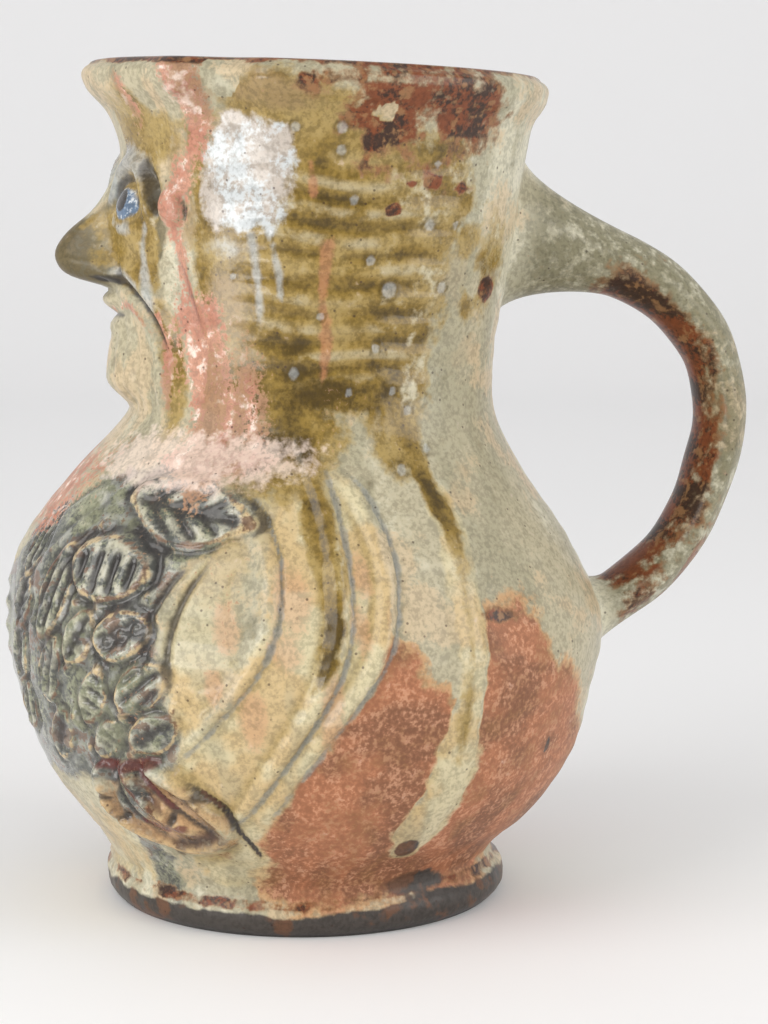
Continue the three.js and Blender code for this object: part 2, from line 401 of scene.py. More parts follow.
def throw(wall, sizes):
    """Finger rings up the neck in a slow spiral, softer ones on the belly, and turning at the foot."""
    spiral = wall.height + 7 * wall.angle / 360
    away_from_face = rise(wall.side, 50, 80) * (1 - 0.75 * rise(wall.side, 104, 136))
    on_neck = rise(wall.height, 134, 150) * (1 - rise(wall.height, 186, 203))
    wander = 1.2 * ripple(wall.angle, wall.height, 5, coarse=50)
    ring = level_rings(spiral + wander - 179, NECK_RING_STEP)
    depth = sizes.ring_depth / MM * (0.5 + mottle(wall.angle, wall.height, 30, 6))
    wall.skin = depth * on_neck * away_from_face * ring
    shown = 0.15 + 0.85 * rise(mottle(wall.angle, wall.height, 24, 7), 0.36, 0.62)
    wall.glazes["crest"] = 0.5 + 0.5 * on_neck * away_from_face * shown * ring
    fine_rings = rise(wall.height, 118, 140) * away_from_face
    wall.skin += 0.12 * level_rings(spiral, FINE_RING_STEP) * fine_rings
    on_belly = rise(wall.height, 20, 40) * (1 - rise(wall.height, 95, 125))
    wall.skin += 0.1 * on_belly * level_rings(spiral, BELLY_RING_STEP)
    wall.skin += 0.35 * ripple(wall.angle, wall.height, 3) * rise(wall.height, 4, 30)
    for height, depth in TURNED_LINES:
        above = wall.height - height + 0.4 * ripple(wall.angle, wall.height, 8)
        wall.skin -= depth * hill(above / TURNED_LINE_WIDTH)
    lumps = mottle(wall.angle, wall.height, 7, 9) - 0.5
    wall.skin += 1.1 * lumps * (1 - rise(wall.height, 9, 16))
    wall.skin *= rise(wall.height, 1, 5)


# The face. One half of it is given here, and the other mirrors it.

# The beak: how far its ridge stands out at each height, and half its width at others.
BEAK = np.array([
    (163.4, 0), (164.4, 3.2), (165.2, 6), (166.2, 9.6), (167.6, 12.2), (170, 14), (173, 14.4),
    (176.5, 12.2), (180, 8.6), (183, 4.9), (186, 2.8), (191, 1.2), (197, 0),
])
BEAK_HALF_WIDTH = (
    [160, 164, 167, 171, 176, 184, 192, 198],
    [4, 6, 8.6, 8.8, 7, 5.4, 4.6, 4.2],
)
EYEBALL = (16, 186, 9.6, 9.6)
EYE_SOCKET = (17, 188, 21, 21)
# Lumps pressed on: how proud, angle, height, width, length and turn.
FACE_LUMPS = (
    (4.6, 8.2, 167.6, 6.4, 5, 0), (2.6, 36, 185.4, 8, 10, -18), (2.7, 0, 160.6, 13, 4.6, 0),
    (1.6, 0, 153.4, 15, 4, 0), (2.3, 2, 142.5, 24, 19, 0),
)
# A nostril and the corner of an eye: how deep, angle, height, width and length.
FACE_HOLES = ((2.4, 6.6, 166.2, 3.0, 2.2), (1.5, 13, 186.8, 2.8, 3.4))
# Coils of clay: how wide, how proud, and the line that each one follows.
FACE_COILS = (
    (7, 3.4, [(7, 186.5), (10, 192.5), (16.5, 195.6), (23, 193.6), (27, 187.5), (28, 182.5)]),
    (3.4, 1.2, [(9.5, 181.5), (14, 179.6), (20, 180.2), (25, 182.5)]),
    (9, 1.7, [(12, 169.5), (20, 166.5), (27.5, 159.5), (31.5, 151)]),
    (6.5, 1.6, [(9, 163), (16, 161), (23, 155), (27.5, 146), (29.5, 134)]),
    (3, 1.3, [(9, 169), (13.5, 170.6), (18.5, 168.4), (21, 165)]),
)
# Grooves: how wide, how deep, and the line that each one follows.
FACE_GROOVES = (
    (1.8, 1.2, [(9.5, 171.8), (12.5, 169.5), (13, 166)]),
    (2, 1.2, [(8.5, 187.5), (13, 191), (19, 190.6), (22.5, 187)]),
    (3.6, 2.4, [(24.5, 194.5), (28.5, 191), (30.5, 186.5), (30.2, 182.5)]),
    (1.8, 1.2, [(38, 189), (40.5, 185), (39.5, 180.5)]),
    (2.6, 1.7, [(7.5, 165.6), (14, 165.4), (21, 161.6), (27, 155.5), (31, 147)]),
    (2.4, 1.4, [(-12, 157), (0, 156.6), (12, 157)]),
    (2.2, 0.7, [(34, 182), (37.5, 172), (41, 163), (45, 153), (51, 142)]),
    (1.6, 0.5, [(40, 180), (43, 170), (46, 160), (50, 150)]),
)
# The lines between the lobes of the chin: angle, top and foot.
CHIN_LINES = ((6, 151, 137), (11, 154, 133), (16.5, 155, 134), (22, 151, 131))


def shape_face(wall):
    """A hooked beak, heavy-lidded eyes, cheek folds, a lipped mouth and a lobed chin."""
    sideways = wall.radius * np.sin(wall.side * RADIAN)
    half_width = np.interp(wall.height, *BEAK_HALF_WIDTH)
    bridge = through(BEAK[:, 0], BEAK[:, 1], wall.height)
    flank = np.clip(1 - (sideways / half_width) ** 2, 0, 1)
    wall.add(bridge * flank ** 0.8 * (wall.side < 40))
    for proud, *place in FACE_LUMPS:
        wall.add(proud * dome(wall.patch(*place)[0]))
    for depth, *place in FACE_HOLES:
        wall.score(depth * hill(wall.patch(*place)[0]))
    wall.carve(1.5 * hill(wall.patch(*EYE_SOCKET)[0]))
    ball = wall.patch(*EYEBALL)[0]
    wall.clay += 2.7 * dome(ball)
    wall.paint("ink", 0.9 * hill((ball - 1.08) / 0.25))
    for width, proud, places in FACE_COILS:
        wall.coil(places, width, proud)
    for width, depth, places in FACE_GROOVES:
        wall.groove(places, width, depth)
    for angle, top, foot in CHIN_LINES:
        line = [(angle - 1, top), (angle + 1, (top + foot) / 2), (angle, foot)]
        wall.carve(0.5 * hill(wall.track(line, reach=6)[0] / 1.2))


# The breast and wings.

PANEL_EDGE = [
    (12, 105), (23, 117), (36, 121), (50, 122), (62, 119), (71, 112), (75.5, 100), (75, 86),
    (70, 72), (62, 58), (53.8, 48),
]
WING_EDGES = (
    [(60, 119), (70, 112.5), (76, 100), (75.5, 86), (70.5, 72), (62, 58), (54, 48.5)],
    [(80, 127), (88, 112), (89.6, 92), (85.5, 73), (78.5, 55), (69, 38), (63, 31)],
    [(90, 119.5), (96.5, 112), (99.5, 98), (95.5, 80), (88.5, 65), (80.5, 49.5), (72, 35)],
)
# Feathers of the breast: angle, height, width, length, turn, how pointed, how proud, and marks.
FEATHERS = (
    (56, 111, 38, 17, -8, 0.45, 2.6, "barbs"),
    (41.5, 96.5, 26, 16, -4, 0.0, 3.0, "bars"),
    (27, 89, 26, 13, 76, 0.3, 2.0, "lines"),
    (47, 81, 19, 12, 24, 0.0, 2.4, "rings"),
    (36, 78.5, 17, 10, 58, 0.3, 2.0, "barbs"),
    (27, 69, 20, 10, 74, 0.3, 1.8, "lines"),
    (50.5, 68.5, 17, 11, 38, 0.0, 2.4, "lines"),
    (39, 64.5, 17, 9, 62, 0.3, 2.0, "bars"),
    (52, 56.5, 17, 10, 28, 0.3, 2.2, "barbs"),
    (41, 53.5, 13, 7, 52, 0.0, 1.8, "bars"),
    (13, 98, 18, 12, 82, 0.3, 1.3, "lines"),
    (12.5, 84, 17, 12, 78, 0.3, 1.3, "barbs"),
    (12, 70, 17, 12, 84, 0.0, 1.2, "rings"),
    (13.5, 56.5, 16, 12, 80, 0.3, 1.3, "lines"),
    (27, 52, 17, 9, 60, 0.3, 1.5, "barbs"),
)
# Pellets between them: angle, height and size.
PELLETS = (
    (46, 112.5, 4.2), (35, 106, 4.4), (30.5, 102.5, 3.4), (52.5, 91, 4.0), (35, 87.5, 4.2),
    (55, 86, 3.6), (40.5, 87, 3.4), (41.5, 72.5, 4.4), (33, 70.5, 3.6), (46, 60.5, 4.6),
    (46.6, 50.4, 4.6), (57, 63.5, 3.2), (33, 58, 4.2), (28, 60, 3.4), (20, 80, 3.4), (21, 98, 3.4),
    (32, 94, 3.0), (55.5, 74.5, 3.0), (24, 76.5, 3.0), (36, 50, 3.6),
)
# Grooves beside the panel: how wide, how deep, and the line that each one follows.
BREAST_GROOVES = (
    (2.4, 1.3, [(66, 102), (60, 91), (56.5, 79), (56, 69)]),
    (2.4, 1.3, [(61.5, 100.2), (55.5, 91), (52, 79), (51.5, 69)]),
    (1.3, 0.5, [(67, 76), (64, 70), (61.5, 69), (59, 62)]),
    (1.3, 0.5, [(64, 70), (66.5, 65), (62, 60)]),
    (1.2, 0.35, [(70, 98), (68.5, 90), (69.5, 84)]),
    (1.8, 0.8, [(14, 104), (24, 114), (35, 118)]),
    (1.6, 0.7, [(20, 99), (27, 108), (37, 113.5)]),
)
QUILL_NOTCH_STEP = 6.2


def mark_feather(wall, kind, q, u, v):
    """The marks pressed into one feather of the breast."""
    inside = rise(1 - q, 0.12, 0.3)
    if kind == "barbs":
        wall.score(inside * 1.2 * hill(v / 0.18))
        wall.score(inside * 1.2 * hill((((np.abs(v) * 0.7 - u) * 2.4) % 1 - 0.5) / 0.28))
    if kind == "bars":
        wall.score(inside * 1.6 * hill(((u * 2.4) % 1 - 0.5) / 0.28) * rise(0.55 - v, 0, 0.2))
    if kind == "lines":
        wall.score(inside * 1.5 * hill(((v * 1.6 + 0.5) % 1 - 0.5) / 0.28))
    if kind == "rings":
        for middle in (-0.52, 0, 0.52):
            out = np.hypot(u - middle, v * 0.62)
            wall.score(inside * 1.4 * hill((out - 0.19) / 0.12))


def carve_breast(wall):
    """Pressed-on feathers of several kinds, laid over one another, with pellets between them."""
    wall.coil(PANEL_EDGE, 4, 1.3)
    wall.add(1.3 * spot(wall, 0, 106, 62, 34) ** 0.5 * (wall.side < 30))
    torn = mottle(wall.side, wall.height, 8, 21, octaves=3) - 0.5
    for angle, height, across, along, turn, point, proud, kind in FEATHERS:
        q, u, v = wall.patch(angle, height, across, along, turn, point)
        q = q * (1 + 0.4 * torn)
        slab = proud * np.clip(1 - q ** 6, 0, 1) ** 0.5 * (0.6 + 0.4 * hill((q - 0.86) / 0.18))
        wall.add(slab * (1 + 0.3 * v - 0.25 * u))
        wall.paint("bone", 0.85 * hill((q - 0.9) / 0.16))
        mark_feather(wall, kind, q, u, v)
        wall.score(0.9 * hill((q - 1.1) / 0.12))
    for angle, height, size in PELLETS:
        q = wall.patch(angle, height, size, size * 0.85, turn=angle)[0]
        wall.add(1.9 * dome(q))
        wall.paint("bone", 0.8 * np.clip(1.2 - q, 0, 1))
        wall.paint("ink", 0.7 * hill((q - 1.25) / 0.3))
    for width, depth, places in BREAST_GROOVES:
        wall.groove(places, width, depth)


def carve_wings(wall):
    """Long wing feathers with a pinched edge and a drawn line beside it."""
    for index, places in enumerate(WING_EDGES):
        wall.coil(places, 7, 1.9)
        beside = [(angle + 2.4, height + 1) for angle, height in places]
        wall.groove(beside, 1.8, 0.9, ends=0.5)
        if index:
            inner = [(angle - 3.4, height - 1) for angle, height in places]
            wall.carve(0.4 * hill(wall.track(inner, reach=6)[0] / 1.4))


def carve_quill(wall):
    """The notched ridge down the middle of the breast."""
    distance, share = wall.track([(0, 113), (0, 90), (0, 58)], mirrored=False)
    notch = 0.5 + 0.5 * level_rings(wall.height, QUILL_NOTCH_STEP)
    ends = np.sqrt(hill((share - 0.5) / 0.5))
    wall.add((0.5 + 1.3 * notch) * ends * hill(distance / 3.6))


# The toes: how wide, how proud, and the line that each one follows.
TOES = (
    (7.5, 6.0, [(37.5, 44.5), (37.6, 36), (41, 29.6), (47, 26.2)]),
    (7, 5.8, [(44.5, 46.5), (47.5, 39.5), (51.5, 34), (56.5, 30.4)]),
    (7.5, 6.2, [(51, 47), (57, 43), (61.5, 37.6), (64.5, 31.5)]),
    (6, 5.2, [(46, 27), (53, 24.6), (60, 25.8), (64, 29)]),
)
# The lines between the toes and across their joints.
TOE_GROOVES = (
    [(41, 45.5), (42.6, 38), (45.5, 32.6), (50, 29)], [(47.8, 47), (52, 41), (56.5, 36), (61, 31)],
    [(58, 45), (62, 41), (65.6, 36.6), (67, 30)], [(36, 38.5), (39.5, 37)], [(46, 41), (50, 40)],
    [(38.5, 31.5), (42.5, 33.5)], [(57, 40), (61, 41)], [(52.5, 32), (54.5, 36)],
)
CLAW_LINE = [(67.5, 29.5), (69, 26), (71, 22)]


def shape_claws(wall):
    """The clenched claws that the bird rests on, just above the foot."""
    q = wall.patch(51, 35.5, 35, 22, turn=-12)[0]
    wall.add(3.2 * np.clip(1 - q ** 3, 0, 1) ** 0.6)
    for width, proud, places in TOES:
        wall.coil(places, width, proud, ends=0.8)
    for places in TOE_GROOVES:
        wall.groove(places, 2.2, 1.8, ends=0.5)
    wall.groove(CLAW_LINE, 2.0, 1.2, ends=0.4)
    wall.groove([(36, 24), (44, 20), (54, 19)], 1.8, 0.7)


# Where the glazes lie.

BREAST = [
    (8, 105), (23, 115), (36, 119), (50, 121), (62, 118), (71, 110.5), (66, 104), (58, 96),
    (54, 86), (53, 74), (55.5, 64), (58, 55), (52, 47), (42, 43.5), (28, 40), (0, 38), (-25, 38),
]
NEAR_CLAY = [
    (93, 77), (95.5, 80), (101, 77.5), (104, 71), (109, 67), (114, 80), (117, 84), (121.5, 86),
    (130.5, 85), (132.5, 72), (139, 67.5), (150, 53), (160, 38), (158, 22), (140, 9), (100, 8),
    (80, 9), (70, 19), (76, 41), (84, 55), (90, 67),
]
FAR_CLAY = [
    (-92, 70), (-99, 84), (-108, 79), (-116, 90), (-128, 86), (-136, 66), (-148, 60), (-163, 42),
    (-158, 20), (-130, 15), (-100, 14), (-76, 15), (-72, 22), (-78, 44), (-86, 58),
]
RIM_PATCH = [
    (87, 213), (88.5, 206), (98, 199), (110.5, 200), (118, 195), (124, 200), (136, 206),
    (134, 214), (124, 219), (95, 219),
]
FAR_RIM_PATCH = [(-70, 218), (-72, 210), (-84, 204), (-96, 207), (-103, 213), (-98, 219)]
# The white patch on the near side of the neck: white glaze with a painted reflection on it.
MILK_REFLECTION = [
    (50.5, 203), (54, 206), (61, 206.6), (67, 205), (72.5, 204), (74, 198), (73.5, 191), (71, 186.5),
    (69, 181), (63, 179), (56, 178.4), (50, 180), (47, 184), (49, 190), (47.5, 197),
]
# The long run down the near side of the belly, and a shorter one on the far side.
BIG_RUN = [
    (117, 112), (116.4, 98.6), (113.4, 85), (112, 69), (111.2, 53.5), (109.5, 40), (106.5, 31),
    (104.8, 24.5),
]
FAR_RUN = [(-112, 84), (-114, 64), (-110, 46), (-106, 36)]
# Runs of the neck's glaze on to the shoulder: how wide, and the line that each one follows.
SHOULDER_RUNS = (
    (5.5, [(80.4, 127.5), (83.6, 118), (86.5, 108), (88, 98), (87.4, 86), (84.5, 74), (80, 62)]),
    (4.5, [(108, 136), (112, 124), (115.5, 112), (117, 104)]),
    (7, [(-72, 142), (-74, 126), (-79, 108), (-80, 96)]),
    (9, [(-88, 142), (-90, 122), (-97, 100), (-98, 80)]),
    (8, [(-104, 142), (-107, 124), (-112, 108)]),
    (6, [(-118, 142), (-121, 130), (-126, 121)]),
)
# Spots of each glaze, the same on both sides: how much, angle, height, width, length and turn.
TWIN_SPOTS = {
    "olive": (
        (0.95, 75, 127, 30, 24), (0.62, 108, 132, 16, 26), (0.5, 136, 168, 26, 30),
        (0.8, 128, 176, 9, 10.8), (0.8, 135, 171, 7, 8.4), (0.8, 131, 160, 6, 7.2),
        (0.8, 124, 187, 7, 8.4), (0.72, 33, 202, 16, 12), (0.62, 22, 207, 18, 14),
    ),
    "fawn": ((0.7, 54, 156, 13, 30), (0.7, 40, 190, 10, 26)),
    # Painted shade: the darker beak, the nostril and the places round the eyes.
    "shadow": (
        (0.95, 0, 171, 26, 18), (0.8, 7, 166, 6, 5), (0.8, 28, 176, 8, 22), (0.7, 8, 184, 12, 26),
    ),
    "pink": ((0.72, 0, 113, 46, 26), (0.8, 36.5, 184.5, 9, 11), (0.9, 56, 122, 32, 7)),
    "blanch": ((0.95, 50, 122, 60, 13), (0.6, 46, 213, 12, 12)),
    "haze": ((0.55, 53, 175, 12, 6),),
    "iris": ((1.0, 16.4, 185.4, 10, 7.6),),
    "pupil": ((1.0, 15.8, 186.4, 4.4, 5.4),),
    "cream": ((0.72, 64, 20, 30, 16), (0.8, 12, 20, 60, 26)),
    "blush": (
        (1.0, 80.5, 91, 9, 16), (1.0, 78.3, 79, 8, 10), (1.0, 94.2, 96, 5, 10),
        (1.0, 92, 84, 5, 12), (1.0, 72, 62, 7, 14), (1.0, 68, 84, 7, 12), (1.0, 65, 70, 5, 9),
        (1.0, 86, 66, 5, 26),
    ),
    "ochre": ((0.9, 51, 35, 36, 24, -12),),
    "slate": ((0.75, 45, 38, 12, 16, -24), (0.75, 40, 17, 12, 26, 16)),
}
# Spots on one side only.
SINGLE_SPOTS = {
    "dusk": ((0.75, 124, 150, 22, 60), (0.7, -128, 150, 26, 60)),
    "fawn": ((0.8, 66, 213, 34, 10),),
    "olive": ((0.8, 74, 209, 38, 18),),
    "haze": ((0.8, -60, 190, 20, 22),),
    "clay": ((0.7, 96, 92, 6, 16),),
    "rust": ((0.52, 84, 215, 26, 10), (0.62, 122, 85, 15, 4)),
    "char": ((0.8, 116, 12, 22, 7), (0.95, 105, 24.8, 6.4, 5.4)),
}
# Runs of each glaze, the same on both sides: how wide, how much, how blunt, and the line.
TWIN_RUNS = {
    "olive": (
        (6, 0.85, 0, [(30, 157), (34.6, 144), (36.5, 131), (37, 122)]),
        (6, 0.95, 0, [(9, 181), (12, 175), (13.5, 168)]),
    ),
    "pink": (
        (7.5, 0.95, 0.5, [(46, 222), (48, 211), (46.5, 204), (43, 197), (39.5, 189), (37, 182)]),
        (4.6, 0.82, 0.5, [(36, 184), (38, 172), (41.5, 161), (45, 150)]),
        (16, 1.0, 0.5, [(43, 156), (46.5, 147), (50.5, 137), (54, 127), (57, 121)]),
        (2.6, 0.85, 0.5, [(29, 157), (31, 147), (31.5, 134)]),
        (2.4, 0.7, 0.5, [(4, 158), (16, 159.5), (25, 153)]),
        (5, 0.62, 0.5, [(26, 215), (27, 205)]),
        (6, 0.75, 0.5, [(60, 141), (64, 131), (67, 124)]),
    ),
    "haze": (
        (2.2, 0.85, 0, [(62, 178), (63.5, 168), (64.5, 154)]),
        (1.8, 0.85, 0, [(68, 176), (70, 168), (71, 160)]),
        (2.4, 0.85, 0, [(26.5, 181), (24, 172), (25.5, 163), (29, 154)]),
        (3, 0.85, 0, [(20, 164.5), (14, 168.3), (10, 167.6)]),
        (6, 1.0, 0, [(8, 188), (11, 193.6), (17, 196.6), (23, 194.5), (26, 189)]),
        (3, 1.0, 0, [(10, 181), (15, 179.4), (21, 180.6)]),
    ),
    "slot": (
        (1.8, 1.0, 0, [(10.5, 190), (14.5, 192), (19, 191.4)]),
        (3.6, 1.0, 0.6, [(25.5, 195), (28.8, 190.5), (30, 184.5)]),
        (2.2, 1.0, 0, [(8, 166.3), (13, 166.2), (18, 163.6)]),
    ),
    "cream": (
        (21, 1.0, 0.8, [(74, 116), (82, 108), (83, 90), (78.5, 72), (70.5, 56), (62, 42), (60, 36)]),
        (11, 1.0, 0.8, [(88, 116), (93, 110), (94.5, 95), (90.5, 76), (83, 60), (75, 44), (69, 33)]),
        (17, 1.0, 0.8, [(65, 100), (65, 88), (63, 76), (60, 64)]),
    ),
    "char": ((1.3, 0.9, 1, [(61, 42.8), (65.6, 36), (67, 30)]), (1.7, 0.85, 0, CLAW_LINE)),
    "wine": (
        (3.2, 0.95, 0, [(38, 46.5), (44, 47), (50, 49), (55, 50)]),
        (2.6, 0.9, 0, [(44, 45), (46, 40), (49, 37)]),
        (2.6, 0.9, 0, [(45.5, 32.6), (52, 31), (58, 33)]),
        (2.2, 0.8, 0, [(47.8, 47), (52, 41), (56.5, 36)]),
    ),
}
# Runs on one side only.
SINGLE_RUNS = {
    "clay": (
        (4, 0.8, 0, [(83.5, 176), (82.5, 163), (84.5, 150), (83, 136)]),
        (3, 0.75, 0, [(78, 196), (79.5, 186)]),
    ),
    "olive": ((4.0, 0.6, 0, BIG_RUN[:6]),),
    "char": ((2.2, 0.8, 0, [(137, 49), (137.6, 45)]),),
}
# Spots of iron below the rim, and burst bubbles in the neck's glaze: angle, height and size.
IRON_SPOTS = (
    (94.8, 201.5, 7.5), (113, 191.5, 5), (101, 184.4, 4.2), (122.5, 190, 4), (106, 191, 3),
    (141, 164, 8), (-100, 196, 6), (-118, 188, 4),
)
BUBBLES = (
    (75, 143.8, 4.6), (102.5, 164.6, 6.4), (113.6, 196, 3.6), (111.6, 134, 4.6), (106, 139, 3.4),
    (121.9, 180.6, 3.6), (113, 180.7, 4.8), (86.5, 204.4, 4.6), (86, 199, 4.4), (74.6, 204.4, 4),
    (108, 120, 4.6), (117, 124.5, 3.8), (96, 172, 4.2), (90, 187, 4.0), (99.5, 150, 3.8),
    (67, 178, 3.2), (56, 168, 2.8), (82, 158, 3.4), (92, 139, 3.4), (120, 165, 4.8),
    (-72, 150, 4.4), (-88, 176, 5.4), (-101, 141, 4.2), (-110, 188, 4.6), (-80, 198, 3.8),
    (-95, 160, 4.8), (-120, 172, 3.8), (-66, 168, 3.4), (-104, 124, 4), (-131, 150, 4.2),
)


def within(wall, places, mirrored=False, ramp=9.0):
    """A wide ramp over the edge of an outline drawn on the wall: 1 well inside, 0 well outside."""
    line = smooth_line(places + places[:1])
    across = wall.side if mirrored else wall.angle
    inside = np.zeros(wall.angle.shape, bool)
    for (start, low), (end, high) in zip(line[:-1], line[1:]):
        spans = (low > wall.height) != (high > wall.height)
        if low != high:
            crossing = start + (wall.height - low) * (end - start) / (high - low)
            inside ^= spans & (across < crossing)
    distance = wall.track(places + places[:1], mirrored, reach=2 * ramp)[0]
    return np.clip(0.5 + np.where(inside, 1, -1) * distance / (2 * ramp), 0, 1)


def spot(wall, angle, height, across, along, turn=0, mirrored=False):
    """A wide ramp over the edge of a round or oval place."""
    q = wall.patch(angle, height, across, along, turn, mirrored=mirrored)[0]
    return np.clip(1 - 0.5 * q * q, 0, 1)


def glaze_spots_and_runs(wall):
    """The spots and runs that the tables list."""
    for mirrored, spots, runs in (
        (True, TWIN_SPOTS, TWIN_RUNS), (False, SINGLE_SPOTS, SINGLE_RUNS),
    ):
        for glaze, rows in spots.items():
            for amount, *place in rows:
                wall.paint(glaze, amount * spot(wall, *place, mirrored=mirrored))
        for glaze, rows in runs.items():
            for width, amount, blunt, places in rows:
                wall.run(glaze, places, width, mirrored, amount, blunt)


def glaze_neck(wall):
    """Runny olive ash glaze on both sides of the neck, and white glaze with a painted reflection on the
    near one.
    """
    field = rise(wall.side, 36, 52) * (1 - rise(wall.side, 101, 138))
    field *= rise(wall.height, 123, 143) * (1 - rise(wall.height, 196, 218))
    wall.paint("olive", 0.98 * field)
    low = hill((wall.height - 140) / 19) * rise(wall.side, 62, 76) * (1 - rise(wall.side, 104, 124))
    wall.paint("pool", 0.9 * low)
    front = rise(wall.side, 9, 13) * (1 - rise(wall.side, 27, 34))
    front *= rise(wall.height, 160, 170) * (1 - rise(wall.height, 200, 219))
    wall.paint("olive", 0.78 * front)
    for width, places in SHOULDER_RUNS:
        wall.run("olive", places, width)
        wall.run("pool", places, 0.7 * width)
    wall.paint("milk_reflection", within(wall, MILK_REFLECTION, ramp=5))


def glaze_belly(wall):
    """Dark slate on the breast, bare salmon slip lower down, and runs of cream across the slip."""
    wall.paint("slate", within(wall, BREAST, mirrored=True, ramp=7))
    for places in (NEAR_CLAY, FAR_CLAY):
        wall.paint("clay", within(wall, places, ramp=8))
    for places, wide in ((BIG_RUN, 4.6), (FAR_RUN, 3.4)):
        distance, share = wall.track(places, mirrored=False, reach=18)
        reach = wide * (1 + 0.35 * rise(share, 0.45, 0.7) - 0.5 * rise(share, 0.92, 1.0))
        reach = reach + 0.5 * ripple(wall.angle * 4, wall.height * 4, 31)
        wall.wipe("clay", 1 - rise(distance, reach - 0.7, reach + 0.7))
        wall.paint("cream", 0.95 * np.clip(1 - distance / (2 * reach), 0, 1))
    for places in WING_EDGES:
        beside = [(angle + 2.6, height + 1) for angle, height in places]
        wall.run("grey", beside, 1.5, mirrored=True, amount=0.85, blunt=0.7)


def glaze_rim_and_foot(wall):
    """Iron-brown where the kiln was hottest, a dark bare foot, and craters left by bubbles."""
    for places in (RIM_PATCH, FAR_RIM_PATCH):
        wall.paint("rust", 0.8 * within(wall, places, ramp=9))
    wall.paint("rust", 0.62 * rise(wall.height, 218, 220))
    torn = mottle(wall.angle, wall.height, 6, 33) - 0.5
    wall.wipe("rust", rise(spot(wall, 97.5, 208.5, 9, 6) + torn, 0.5, 0.6))
    for angle, height, size in IRON_SPOTS:
        wall.paint("rust", 0.9 * spot(wall, angle, height, size, 0.7 * size))
    edge = 4.6 + 3.5 * mottle(wall.angle, 0 * wall.height, 22, 12)
    edge += 2.4 * hill((wall.angle - 126) / 44)
    wall.paint("char", np.clip(0.5 + (edge - wall.height) / 4, 0, 1))
    wall.paint("rust", 0.56 * hill((wall.height - edge - 2.4) / 2.6))
    for angle, height, size in BUBBLES:
        q = wall.patch(angle, height, 0.66 * size, 0.66 * size, mirrored=False)[0]
        wall.skin += 0.2 * hill((q - 1) / 0.4) - 0.2 * np.clip(1 - q ** 4, 0, 1)
        wall.paint("bubble", np.clip(1 - 0.5 * q ** 2, 0, 1))
        wall.paint("halo", hill((q - 1.2) / 0.45))


# How the edge of each glaze wanders: how far, the size of its tongues in mm, and their stretch.
EDGES = {
    "olive": (1.0, 15, 1.4), "pink": (0.8, 8, 1.8), "clay": (0.6, 9, 1.0), "milk_reflection": (0.8, 8, 1.4),
    "slate": (0.4, 8, 1.0), "cream": (0.5, 11, 1.2), "blush": (0.9, 11, 1.2), "rust": (1.3, 9, 0.8),
    "fawn": (0.9, 12, 0.6), "dusk": (0.8, 16, 1.6), "ochre": (0.6, 8, 1.0), "char": (0.4, 8, 1.0),
    "wine": (0.7, 5, 1.0), "grey": (0.7, 7, 1.0), "shadow": (0.7, 9, 1.0), "haze": (0.9, 7, 2.0),
    "bone": (0.7, 6, 1.0), "blanch": (0.9, 10, 0.8),
}


# The mottling that the glazes share: the size of its spots in mm, and their stretch upwards.
MOTTLING = {
    "broad": (42, 1.0), "cloudy": (14, 1.0), "patchy": (7, 0.8), "streaks": (9, 5.0),
    "bands": (26, 0.28),
}


def ruffle_edges(wall):
    """Tongues and bays along the edge of each glaze, and the mottling that the glazes share."""
    for seed, (glaze, (wander, size, stretch)) in enumerate(EDGES.items()):
        tongues = mottle(wall.angle, wall.height, size, 40 + seed, stretch) - 0.5
        wall.glazes[glaze] = wall.glazes[glaze] + wander * tongues * (wall.glazes[glaze] > 0)
    for seed, (name, (size, stretch)) in enumerate(MOTTLING.items()):
        spread = mottle(wall.angle, wall.height, size, 70 + seed, stretch)
        wall.glazes[name] = np.clip(0.5 + 1.6 * (spread - 0.5), 0, 1)


def thicken_runs(wall):
    """The glaze stands a little proud where it ran thick, and in the drop at the long run's end."""
    wall.skin += 0.25 * rise(wall.glazes["olive"], 0.35, 0.8) * (wall.height < 140)
    distance, share = wall.track(BIG_RUN, mirrored=False, reach=18)
    wall.skin += 0.9 * dome(distance / 5.4) * rise(share, 0.0, 0.3)
    drop = wall.patch(104.9, 24.6, 7, 6, mirrored=False)[0]
    wall.skin += 0.8 * hill(drop)


def work_wall(sizes):
    """The wall with everything done to it, and its glazes."""
    wall = Wall()
    throw(wall, sizes)
    shape_face(wall)
    wall.glazes["slot"] = wall.glazes["ink"].copy()
    carve_breast(wall)
    carve_wings(wall)
    carve_quill(wall)
    shape_claws(wall)
    glaze_spots_and_runs(wall)
    glaze_neck(wall)
    glaze_belly(wall)
    glaze_rim_and_foot(wall)
    ruffle_edges(wall)
    thicken_runs(wall)
    for dark in ("ink", "slot"):
        wall.glazes[dark] = softened(wall.glazes[dark], 1)
    cut = 0.7 * softened(wall.cut, 1) + 0.5 * wall.cut
    wall.clay = (softened(wall.clay, 1) + cut) * sizes.relief_depth
    worked = wall.clay + wall.skin
    wide = softened(worked, 5)
    wall.glazes["raised"] = softened(np.clip((worked - wide) / 0.35, 0, 1), 1)
    wall.glazes["recess"] = softened(np.clip((wide - worked) / 0.35, 0, 1), 1)
    return wall


# The mesh.

